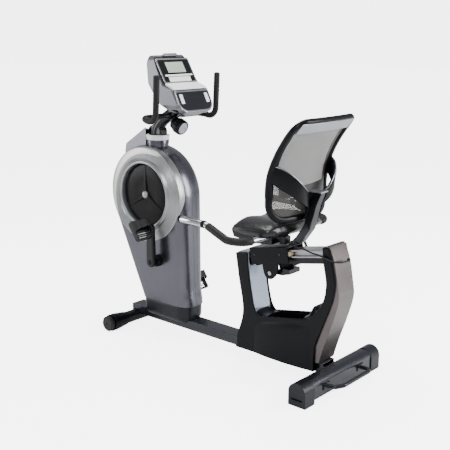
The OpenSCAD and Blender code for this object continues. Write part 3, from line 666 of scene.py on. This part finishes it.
def leg_cover(name, outline, node, colour, bevel):
    """A rounded block with a slot for the rail."""
    cover = add(name, *prism(outline, -LEG_HALF, LEG_HALF), "base", colour, 35)
    end = RAIL_REAR + 0.5
    slot = rail_outline(((-300, -64), (end, -64), (end, 0.8), (-300, 40)))
    cut(cover, tool(*prism(slot, -46, 46)))
    soften(cover, bevel, 5, 32)
    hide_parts(node)


def rail_point(along, up):
    return Vector((RAIL_START[0] + along * math.cos(RAIL_SLOPE) - up * math.sin(RAIL_SLOPE), 0,
                   RAIL_START[1] + along * math.sin(RAIL_SLOPE) + up * math.cos(RAIL_SLOPE)))


def rail_outline(corners):
    """Points along and above the rail, turned into (x, z)."""
    return [(p.x, p.z) for p in (rail_point(along, up) for along, up in corners)]


leg_cover("front_leg_shell", curve2([(114, 118), (144, 208), (147, 278), (125, 387), (104, 508)])
          + curve2([(170, 520), (174, 454), (192, 345), (212, 250)]) + [(214, 100), (114, 100)],
          "front_leg_cover", "leg_silver", 7)
leg_cover("rear_leg_shell", [(514, 100), (514, 292)]
          + curve2([(524, 300), (576, 376), (591, 456), (576, 541), (568, 612)])
          + curve2([(580, 618), (598, 614)] + LEG_REAR_BACK), "rear_leg_cover", "graphite_plastic", 16)


# ---------- tubes ----------
def tube_piece(name, path, radius, body, colour, nodes, sides=24, round_ends=True):
    piece = add(name, *tube(path, radius, sides, round_ends), body, colour, 50)
    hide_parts(*nodes)


def mirrored(points):
    return [Vector((p[0], -p[1], p[2])) for p in points]


def handles():
    x, z = BAR
    bar = filleted([(x, -62, z), (x, -BAR_HALF, z), (-258, -BAR_HALF, 1064), (-247, -BAR_HALF, 1274)], 42)
    middle = Vector((328, 0, 624))
    rear = Vector((341.5, -248, 634))
    far = -HANDLE_HALF
    side = filleted([middle, (346, far, 637), (262, far, 637), (150, far, 684), (-4, far, 687)], 60)
    corner = next(i for i, p in enumerate(side) if p.y < -240)
    bend = next(i for i, p in enumerate(side) if p.x < 165)
    for route, name in ((lambda p: p, "left"), (mirrored, "right")):
        tube_piece("bar_foam_" + name, route(bar), 14.5, "bar", "foam", ("bar_grips",))
        tube_piece("handle_foam_" + name, route([rear] + side[corner + 1:bend + 1]), 17, "seat", "foam",
                   ("handle_grips",))
        tube_piece("handle_chrome_" + name, route(side[bend:]), 13.2, "seat", "chrome", ("side_handle",))
        front = side[-1]
        back_end = front + (side[-2] - front).normalized() * 140
        sleeve = [front + (back_end - front) * t for t in (0.05, 1)]
        tube_piece("pulse_sleeve_" + name, route(sleeve), 15.6, "seat", "chrome", ("side_handle",))
        for number, spot in enumerate(sleeve):
            step = (sleeve[1] - sleeve[0]).normalized() * 5
            tube_piece("sleeve_end_%s_%d" % (name, number), route([spot - step, spot + step]), 16.6, "seat",
                       "black_cover", ("side_handle",))
        for number in range(5):
            a = math.radians(36 * number - 72)
            off = Vector((0, -math.cos(a) * 15.2, math.sin(a) * 15.2))
            groove = route([sleeve[0].lerp(sleeve[1], share) + off for share in (0.1, 0.9)])
            tube_piece("sleeve_groove_%s_%d" % (name, number), groove, 1.3, "seat", "gloss_black",
                       ("side_handle",), 10)
    tube_piece("bar_cross", [(x, -66, z), (x, 66, z)], 12.5, "bar", "dark_paint", ("handlebar",))
    tube_piece("handle_cross", [(341.5, 250, 634), middle, (341.5, -250, 634)], 13.2,
               "seat", "tube_silver", ("side_handle",))


handles()


# ---------- seat cushion ----------
def cushion():
    """Two thigh lobes at the front, a flatter rear, then inflated as cloth."""
    rows, columns = 40, 56
    verts = []
    for shell in (1, -1):
        for i in range(rows + 1):
            u = -1 + 2 * i / rows
            for k in range(columns + 1):
                v = -1 + 2 * k / columns
                squeeze = (1 - abs(u) ** 3.2) ** (1 / 3.2)
                y = 203 * v * (0.80 + 0.20 * squeeze)
                x = 282 + 122 * u * (0.88 + 0.12 * (1 - abs(v) ** 3) ** 0.5)
                rim = max(0.0, (1 - abs(u) ** 5) * (1 - abs(v) ** 5)) ** 0.35
                front = max(0.0, -u)
                lobe = 7 * math.cos(2 * math.pi * min(1, abs(v)) - math.pi) * (0.3 + 0.7 * front)
                top = 662 + (24 + lobe * 0.9 + 2 * u - 6 * front ** 2) * rim
                low = 650 - (33 - 18 * max(0, u)) * rim * (0.6 + 0.4 * (1 - abs(v) ** 2))
                verts.append((x, y, top if shell > 0 else low))
    pad = tool(verts, two_skins(rows, columns))
    pad.name = "cushion_pad"
    remesh = pad.modifiers.new("remesh", "REMESH")
    remesh.mode = "VOXEL"
    remesh.voxel_size = 0.006
    apply_all(pad)
    inflate(pad, 7)
    tidy(pad, 60)
    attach(pad, "seat")
    paint(pad, "vinyl")
    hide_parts("seat_cushion")


def inflate(pad, cap_mm):
    """Blows the pad up as cloth, and holds each point within cap_mm of where it was."""
    rest = [v.co.copy() for v in pad.data.vertices]
    cloth = pad.modifiers.new("cloth", "CLOTH")
    cloth.settings.use_pressure = True
    cloth.settings.uniform_pressure_force = 4
    cloth.settings.effector_weights.gravity = 0
    cloth.settings.quality = 4
    cloth.point_cache.frame_end = 20
    for number in range(1, 21):
        bpy.context.scene.frame_set(number)
    apply_all(pad)
    bpy.context.scene.frame_set(1)
    for v, start in zip(pad.data.vertices, rest):
        step = v.co - start
        if step.length > cap_mm * MM:
            v.co = start + step.normalized() * cap_mm * MM
    pad.modifiers.new("fine", "SUBSURF").levels = 1
    apply_all(pad)


cushion()


def cushion_base():
    """Glossy pan under the pad."""
    outline = [(170, 640), (182, 612), (292, 606), (302, 652), (302, 662), (170, 655)]
    add("cushion_pan", *prism(outline, -176, 176), "seat", "gloss_black", 35, bevel=10, segments=5,
        node="seat_cushion")


cushion_base()


# ---------- backrest ----------
def back_surface(y, z):
    depth = 80 - 60 * (z - 800) / 340 if z > 800 else 80 - 35 * (800 - z) / 110
    return Vector((362 + 0.001523 * (z - 800) ** 2 + depth * (1 - (y / 240) ** 2), y, z))


def back_normal(y, z):
    along_y = back_surface(y + 1, z) - back_surface(y - 1, z)
    along_z = back_surface(y, z + 1) - back_surface(y, z - 1)
    return along_y.cross(along_z).normalized()


def back_loop(inset):
    """The outline of the backrest in y and z, moved inwards by inset."""
    half = 210 - inset
    low, high = 697 + inset, 1138 - inset
    r_low, r_high = 84 - inset * 0.6, 50 - inset * 0.5
    quarter = (arc_polygon((half - r_high, high - r_high), r_high, 90, 0, 8)
               + arc_polygon((half - r_low, low + r_low), r_low, 0, -90, 12))
    return quarter + [(-y, z) for y, z in reversed(quarter)]


def resampled(points, step):
    """Points at even spacing round a closed outline."""
    line = []
    for a, b in zip(points, points[1:] + points[:1]):
        length = math.dist(a, b)
        count = max(1, round(length / step))
        line += [(a[0] + (b[0] - a[0]) * i / count, a[1] + (b[1] - a[1]) * i / count) for i in range(count)]
    return line


def back_frame():
    loop = resampled(back_loop(14), 9)
    count = len(loop)
    verts = []
    sides = 16
    for i, (y, z) in enumerate(loop):
        ahead = back_surface(*loop[(i + 1) % count]) - back_surface(*loop[i - 1])
        out = back_normal(y, z)
        across = ahead.normalized().cross(out).normalized()
        width = 14.5 + 5 * max(0, 1 - abs(z - 905) / 130)
        for k in range(sides):
            a = 2 * math.pi * k / sides
            c, s = math.cos(a), math.sin(a)
            verts.append(back_surface(y, z) + across * width * math.copysign(abs(c) ** 0.7, c)
                         + out * 12 * math.copysign(abs(s) ** 0.7, s))
    rim = add("back_loop", verts, grid_faces(count, sides, wrap=True, close=True), "seat", "black_cover",
              70, node="back_frame")
    return rim


def back_patch(name, y0, y1, z0, z1, lift, thick, colour, nodes, rows=14, columns=40, bevel=2.0):
    """A plate that follows the backrest, lift behind its middle surface."""
    verts = []
    for off in (lift, lift + thick):
        for i in range(rows + 1):
            z = z0 + (z1 - z0) * i / rows
            for k in range(columns + 1):
                y = y0 + (y1 - y0) * k / columns
                verts.append(back_surface(y, z) + back_normal(y, z) * off)
    patch = add(name, verts, two_skins(rows, columns), "seat", colour, 40, bevel=bevel)
    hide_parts(*nodes)
    return patch


def back_net():
    """The stretched net inside the loop."""
    loop = back_loop(12)
    rows, columns = 48, 32
    low = min(p[1] for p in loop)
    high = max(p[1] for p in loop)
    verts = []
    for i in range(rows + 1):
        z = low + 0.5 + (high - low - 1) * i / rows
        spans = [(a, b) for a, b in zip(loop, loop[1:] + loop[:1])
                 if min(a[1], b[1]) <= z <= max(a[1], b[1]) and a[1] != b[1]]
        half = max(abs(a[0] + (b[0] - a[0]) * (z - a[1]) / (b[1] - a[1])) for a, b in spans)
        for k in range(columns + 1):
            verts.append(back_surface(half * (-1 + 2 * k / columns), z))
    net = add("back_net", verts, grid_faces(rows + 1, columns + 1), "seat", "web", 80)
    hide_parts("back_mesh")


def back_arm(side, name):
    """Broad curved arm from the block on the post to the side of the loop; a thin silver line along its top
    is a painted highlight.
    """
    section = ((-0.8, 1), (0.8, 1), (1, 0.85), (1, -0.85), (0.8, -1), (-0.8, -1), (-1, -0.85), (-1, 0.85))
    route = smooth_line([(452, 8, 776), (478, 50, 788), (486, 96, 818), (474, 140, 856), (444, 176, 890),
                         (404, 201, 918)], 8)
    count = len(route)
    verts = []
    highlight_line = []
    for i, p in enumerate(route):
        t = i / (count - 1)
        p = Vector((p.x, side * p.y, p.z))
        tall = 19 + 27 * t ** 1.3 - 16 * max(0, (t - 0.7) / 0.3) ** 2
        ahead = route[min(i + 1, count - 1)] - route[max(i - 1, 0)]
        ahead = Vector((ahead.x, side * ahead.y, ahead.z)).normalized()
        up = (Vector((0.12, 0, 1)) - ahead * Vector((0.12, 0, 1)).dot(ahead)).normalized()
        out = ahead.cross(up).normalized() * side
        for c, s in section:
            verts.append(p + out * 8 * c + up * tall * s)
        highlight_line.append(p + up * (tall + 0.5) + out * 2)
    ends = [range(8), range((count - 1) * 8, count * 8)]
    add("back_arm_" + name, verts, grid_faces(count, 8, wrap=True) + ends, "seat", "black_cover", 45,
        node="back_support")
    # painted highlight: a thin silver tube laid along the top edge of the black arm
    tube_piece("arm_painted_highlight_" + name, highlight_line, 3.2, "seat", "tube_silver", ("back_support",), 10)


def back():
    rim = back_frame()
    back_net()
    back_patch("back_top_band", -182, 182, 1084, 1126, 8, 5, "silver_paint", ("back_frame",))
    back_patch("lumbar_pad", -150, 150, 806, 846, -13, 11, "gloss_black", ("back_frame",), bevel=5)
    for side, name in SIDES:
        back_arm(side, name)
    block = [(438, 704), (447, 750), (453, 800), (459, 822), (486, 826), (470, 769), (457, 722), (450, 704)]
    add("support_block", *prism(block, -27, 27), "seat", "black_cover", 30, bevel=5, node="back_support")
    post = [(362, 577), (384, 580), (410, 588), (429, 604), (470, 660), (487, 720), (500, 770), (524, 826),
            (487, 826), (470, 769), (455, 721), (436, 672), (398, 618), (383, 603), (362, 592)]
    add("post_stem", *prism(post, -21, 21), "seat", "post_paint", 30, bevel=2, node="back_post")
    upper = [(448, 694), (468, 664), (478, 690), (490, 722), (503, 770), (526, 820), (486, 822), (468, 769),
             (455, 721)]
    for side, name in SIDES:
        add("post_cheek_" + name, *prism(upper, side * 20.5, side * 26), "seat", "black_cover", 30,
            bevel=1.5, node="back_post")
    add("support_cap", *prism([(458, 823), (463, 830), (529, 831), (526, 823)], -25, 25), "seat",
        "silver_paint", 30, bevel=2.5, node="back_support")


back()


# ---------- console ----------
FACE_ORIGIN = (-288, 0, 1236)
FACE_LEAN = 30.5
DECK_ORIGIN = (-195, 0, 1140)
DECK_LEAN = 26.6


def plate_on(name, origin, lean, half, low, high, out, thick, corner, colour, node, body="base", bevel=0.8,
             shift=0, top_corner=None):
    """A rounded plate on the display face or the key deck; low and high run up the slope."""
    shape = []
    top = top_corner or corner
    corners = ((half - top, high - top, top, 0), (top - half, high - top, top, 90),
               (corner - half, low + corner, corner, 180), (half - corner, low + corner, corner, 270))
    for cy, cz, r, start in corners:
        shape += arc_polygon((cy, cz), r, start, start + 90, 8)
    verts = [turned((out + off, y + shift, z), origin, lean) for off in (0, thick) for y, z in shape]
    count = len(shape)
    faces = [(i, (i + 1) % count, count + (i + 1) % count, count + i) for i in range(count)]
    faces += [range(count), range(count, 2 * count)]
    add(name, verts, faces, body, colour, 35, bevel=bevel, node=node)


def console():
    face = (FACE_ORIGIN, FACE_LEAN)
    deck = (DECK_ORIGIN, DECK_LEAN)
    plate_on("bezel", *face, 99, 8, 121, -1.0, 3.0, 8, "gloss_black", "console_lens")
    plate_on("display", *face, 58, 54, 108, 1.6, 1.2, 3, "lcd", "console_lens", bevel=0.3)
    plate_on("card_bar", *face, 88, 35, 43, 1.4, 4.5, 3.5, "pale_plastic", "console_lens")
    plate_on("card", *face, 70, 8, 33, 1.4, 1.0, 3, "pale_plastic", "console_lens")
    add("console_shelf", *prism([(-290, 1230), (-287, 1238), (-238, 1221), (-228, 1212), (-236, 1208)],
                                -108, 108), "base", "pale_plastic", 30, bevel=2, node="console_face")
    plate_on("deck_nose", *deck, 112, -33, 70, -26, 25.5, 46, "shell_paint", "console_face", bevel=5,
             top_corner=9)
    plate_on("deck_rim", *deck, 110, -31, 74, -1.0, 3.4, 46, "chrome", "console_face", bevel=1.4,
             top_corner=8)
    plate_on("deck_panel", *deck, 103, -24, 66, 2.0, 1.8, 42, "cover_paint", "key_panel", top_corner=6)
    plate_on("face_rim", *face, 107, 1, 130, -2.0, 3.0, 12, "chrome", "console_face", bevel=1.2)
    for side, name in SIDES:
        plate_on("key_cap_" + name, *deck, 10.3, 8.6, 55.4, -8, 13.4, 4, "pale_plastic", "key_" + name,
                 body=name + "_key", bevel=1.2, shift=side * 82)
    plate_on("top_tab", (-366, 0, 1362), FACE_LEAN, 44, -8, 6, -6, 14, 5, "silver_paint", "console_face",
             bevel=2)


console()


def console_arm():
    """Curved black arm from the collar to the underside of the console."""
    path = smooth_line([(NECK_X, 0, 958), (NECK_X, 0, 985), (-445, 0, 1016), (-420, 0, 1048), (-380, 0, 1076),
                        (-338, 0, 1102), (-306, 0, 1126)], 6)
    add("console_stem", *tube(path, 28, 40), "base", "gloss_black", 50, node="console_arm")
    root = [(-496, 974), (-410, 974), (-406, 1006), (-424, 1036), (-452, 1040), (-494, 1020)]
    add("console_stem_root", *prism(root, -24, 24), "base", "gloss_black", 30, bevel=8, segments=5,
        node="console_arm")
    add("bar_clamp", *revolve([(0.5, -31), (17, -31), (19, -29), (19, 29), (17, 31), (0.5, 31)],
                              (BAR[0], 0, BAR[1]), sides=40), "base", "black_cover", 50, node="console_arm")


console_arm()


def knob():
    """Ribbed clamp knob with a pale face."""
    axis = Vector((math.cos(KNOB_TILT), 0, -math.sin(KNOB_TILT)))
    side = Vector((0, 1, 0))
    up = axis.cross(side)
    sides = 120

    def turned_piece(name, rings, colour):
        verts = []
        for d, r, ribs in rings:
            for k in range(sides):
                a = 2 * math.pi * k / sides
                wavy = r * (1 + ribs * math.cos(15 * a))
                verts.append(KNOB_ROOT + axis * d + (side * math.cos(a) + up * math.sin(a)) * wavy)
        ends = [range(sides), range(sides * (len(rings) - 1), sides * len(rings))]
        add(name, verts, grid_faces(len(rings), sides, wrap=True) + ends, "knob", colour, 40,
            node="clamp_knob")

    turned_piece("knob_grip", [(12, 26, 0), (14, 29, 0), (30, 31, 0), (34, 34.5, 0.02), (38, 36.5, 0.03),
                               (70, 36.5, 0.03), (76, 33, 0.01), (77, 29, 0), (75, 28, 0)], "black_cover")
    turned_piece("knob_face", [(73, 27.5, 0), (75.6, 27.5, 0), (76.4, 26, 0), (76.4, 20, 0), (75.2, 18, 0),
                               (75.2, 1, 0)], "silver_paint")


knob()


# ---------- cranks and pedals ----------
def crank_arm(side, up, name):
    """Tapering arm with a round boss at each end."""
    shape = arc_polygon((0, 0), 25, 180, 360, 20) + arc_polygon((0, CRANK_LEN), 21, 0, 180, 20)
    outline = [(CRANK.x + x, CRANK.z + up * z) for x, z in shape]
    add("crank_arm_" + name, *prism(outline, side * 118, side * 143), "crank", "dark_paint", 40, bevel=7,
        segments=5, node="crank_" + name)
    add("crank_cap_" + name, *revolve([(0.5, 146), (10, 146), (13, 144.5), (14, 142)], CRANK, side, 32),
        "crank", "black_cover", 50, node="crank_" + name)


def pedal(side, up, name):
    """Open cage with cross bars, and a wide strap over it."""
    origin = (CRANK.x, 0, CRANK.z + up * CRANK_LEN)
    lean = 35

    def cage(piece_name, low, high, bevel):
        verts, faces = box(low, high)
        verts = [turned((x, side * y, z), origin, lean) for x, y, z in verts]
        add(piece_name, verts, faces, name + "_pedal", "gloss_black", 35, bevel=bevel, node="pedal_" + name)

    cage("pedal_inner_" + name, (-13, 150, -50), (12, 160, 50), 4)
    cage("pedal_outer_" + name, (-13, 232, -46), (12, 242, 46), 4)
    cage("pedal_front_" + name, (-10, 152, 40), (12, 240, 50), 3)
    cage("pedal_back_" + name, (-10, 152, -50), (12, 240, -40), 3)
    cage("pedal_core_" + name, (-12, 150, -12), (10, 238, 12), 5)
    for number, place in enumerate((-33, -24, 24, 33)):
        cage("pedal_tread_%s_%d" % (name, number), (4, 156, place - 2.5), (14, 236, place + 2.5), 1)
    rings = []
    for i in range(25):
        a = math.pi * i / 24
        for width, r in ((-24, 45.2), (24, 45.2), (24, 47.6), (-24, 47.6)):
            x = 10 + r * 0.92 * math.sin(a) ** 0.8
            y = 196 - r * math.cos(a)
            rings.append(turned((x, side * y, 18 + width * (1 - 0.25 * math.sin(a))), origin, lean))
    faces = grid_faces(25, 4, wrap=True) + [(0, 1, 2, 3), (96, 97, 98, 99)]
    add("pedal_strap_" + name, rings, faces, name + "_pedal", "rubber", 40, bevel=0.8, node="strap_" + name)
    pin = [(CRANK.x, side * reach, origin[2]) for reach in (140, 152)]
    add("pedal_pin_" + name, *tube(pin, 9, 24), name + "_pedal", "steel", 40, node="pedal_" + name)


for side, up, name in ((-1, 1, "left"), (1, -1, "right")):
    crank_arm(side, up, name)
    pedal(side, up, name)

# ---------- small parts of the frame ----------
FOOT_PLACES = (80, 256, 492)
for number, place in enumerate(FOOT_PLACES):
    verts, faces = revolve([(0.5, -7), (9, -7), (11, -4), (11, 7), (0.5, 7)], (0, 0, 0), sides=32)
    verts = [(v.x + place, v.z - 18, 45 + v.y) for v in verts]
    add("beam_foot_%d" % number, verts, faces, "base", "rubber", 40, node="base_fasteners")
for side, name in SIDES:
    place = rail_point(-14, -16.5)
    add("rail_guide_" + name, *revolve([(0.5, 52), (9, 52), (10, 50), (10, 30), (0.5, 30)], place, side,
                                       32), "seat", "beige", 40, node="carriage")

def carriage():
    """Plates on each side of the rail, ears below for the lever, and a spring."""
    half = CARRIAGE_HALF
    front, rear = CARRIAGE
    plate = [(front, -56), (front, 16), (rear, 16), (rear, -56)]
    outline = rail_outline(plate)
    ear = curve2([(246, 500), (252, 470), (260, 440), (276, 422), (300, 419), (322, 436), (334, 462),
                  (338, 508)])
    for side, name in SIDES:
        add("carriage_wall_" + name, *prism(outline, side * (half - 7.5), side * half), "seat",
            "black_cover", 35, bevel=2, node="carriage")
        add("carriage_ear_" + name, *prism(ear, side * (half - 8), side * (half - 0.5)), "seat",
            "black_cover", 35, bevel=2, node="carriage")
        add("ear_bolt_" + name, *revolve([(0.5, 4), (7, 4), (9, 2.5), (9, -2)],
                                         (LEVER[0], side * half,
                                          LEVER[1]), side, 24), "seat", "steel", 40, node="carriage")
    bridge = rail_outline(((front, 8), (front, 16), (rear, 16), (rear, 8)))
    for name, shape, wide in (("bridge", bridge, half - 0.5),
                              ("riser", [(184, 560), (184, 606), (294, 606), (294, 572)], 50),
                              ("foot", [(312, 572), (312, 610), (344, 610), (344, 576)], 20)):
        add("carriage_" + name, *prism(shape, -wide, wide), "seat", "dark_paint", 35, bevel=1.5,
            node="carriage")
    wire = [(262 + 58 * i / 144, -41 + 7 * math.cos(math.pi * i / 8),
             496 + 10 * i / 144 + 7 * math.sin(math.pi * i / 8))
            for i in range(145)]
    tube_piece("return_spring", wire, 1.6, "seat", "steel", ("carriage",), 8)


carriage()

# ---------- CAD nodes that stay ----------
FINISHES = {
    "stabiliser_paint": "base_beam rear_stabiliser",
    "dark_paint": "front_stabiliser mast brake_arm seat_frame",
    "black_cover": "front_caps",
    "cover_paint": "rear_caps",
    "post_paint": "carry_handle",
    "steel": "base_fasteners crank_axle",
    "housing_paint": "gusset_cover",
    "pale_plastic": "neck_collar console_face",
    "rubber": "drive_belt pulse_plug transport_wheel_left transport_wheel_right",
    "gloss_black": "bottle_tray seat_lever",
    "rail_metal": "seat_rail",
    "shell_paint": "console_shell",
    "pulley": "display_module drive_pulley rollers_front rollers_rear",
    "iron": "flywheel",
}
ROUNDING = {"console_shell": 5, "console_face": 3.5, "rear_caps": 5, "front_caps": 2, "gusset_cover": 4,
            "bottle_tray": 1, "neck_collar": 2, "base_beam": 3}
for finish, nodes in FINISHES.items():
    for node in nodes.split():
        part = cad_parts[node]
        paint(part, finish)
        part.data.polygons.foreach_set("use_smooth", [True] * len(part.data.polygons))
        weld = part.modifiers.new("weld", "WELD")
        weld.merge_threshold = 1e-5
        soften(part, ROUNDING.get(node, 1.0), 3, 32)


# ---------- room ----------
def studio_world():
    """White near the horizon and overhead, dim between, and brighter to the camera than in reflections."""
    world = bpy.data.worlds.new("studio")
    world.use_nodes = True
    nodes = world.node_tree.nodes
    links = world.node_tree.links
    place = nodes.new("ShaderNodeTexCoord")
    split = nodes.new("ShaderNodeSeparateXYZ")
    ramp = nodes.new("ShaderNodeValToRGB")
    ramp.color_ramp.elements[0].position = 0.10
    ramp.color_ramp.elements[0].color = (1, 1, 1, 1)
    ramp.color_ramp.elements[1].position = 0.24
    ramp.color_ramp.elements[1].color = (0.30, 0.31, 0.33, 1)
    top = ramp.color_ramp.elements.new(0.9)
    top.color = (0.75, 0.76, 0.80, 1)
    links.new(place.outputs["Generated"], split.inputs["Vector"])
    links.new(split.outputs["Z"], ramp.inputs["Fac"])
    links.new(ramp.outputs["Color"], nodes["Background"].inputs["Color"])
    seen = nodes.new("ShaderNodeLightPath")
    power = nodes.new("ShaderNodeMapRange")
    power.inputs["To Min"].default_value = 1.0
    power.inputs["To Max"].default_value = 5.0
    links.new(seen.outputs["Is Camera Ray"], power.inputs["Value"])
    links.new(power.outputs["Result"], nodes["Background"].inputs["Strength"])
    return world


def room():
    mesh = bpy.data.meshes.new("floor")
    mesh.from_pydata([(-30, -30, 0), (30, -30, 0), (30, 30, 0), (-30, 30, 0)], [], [(0, 1, 2, 3)])
    floor = bpy.data.objects.new("floor", mesh)
    bpy.context.collection.objects.link(floor)
    mat = material("floor_paint", (0.9, 0.9, 0.9), rough=0.8, relief=0.0, mottle=0.004, shine=0.1)
    shader = mat.node_tree.nodes["Principled BSDF"]
    shader.inputs["Emission Color"].default_value = (1, 1, 1, 1)
    nodes = mat.node_tree.nodes
    links = mat.node_tree.links
    seen = nodes.new("ShaderNodeLightPath")
    glow = nodes.new("ShaderNodeMapRange")
    glow.inputs["To Min"].default_value = 0.12
    glow.inputs["To Max"].default_value = 4.6
    links.new(seen.outputs["Is Camera Ray"], glow.inputs["Value"])
    links.new(glow.outputs["Result"], shader.inputs["Emission Strength"])
    mesh.materials.append(mat)
    bpy.context.scene.world = studio_world()
    for name, place, size, power in (
        ("key", (1.6, -3.4, 3.2), (1.2, 1.6), 95),
        ("rim", (3.2, 2.0, 1.8), (0.9, 2.8), 170),
        ("top", (-0.4, 0.2, 3.8), (2.2, 1.6), 110),
        ("fill", (-3.2, -2.4, 1.4), (1.2, 2.4), 60),
    ):
        data = bpy.data.lights.new(name, "AREA")
        data.shape = "RECTANGLE"
        data.size, data.size_y = size
        data.energy = power
        lamp = bpy.data.objects.new(name, data)
        lamp.location = place
        lamp.rotation_euler = (Vector((0, 0, 0.6)) - Vector(place)).to_track_quat("-Z", "Y").to_euler()
        bpy.context.collection.objects.link(lamp)


room()
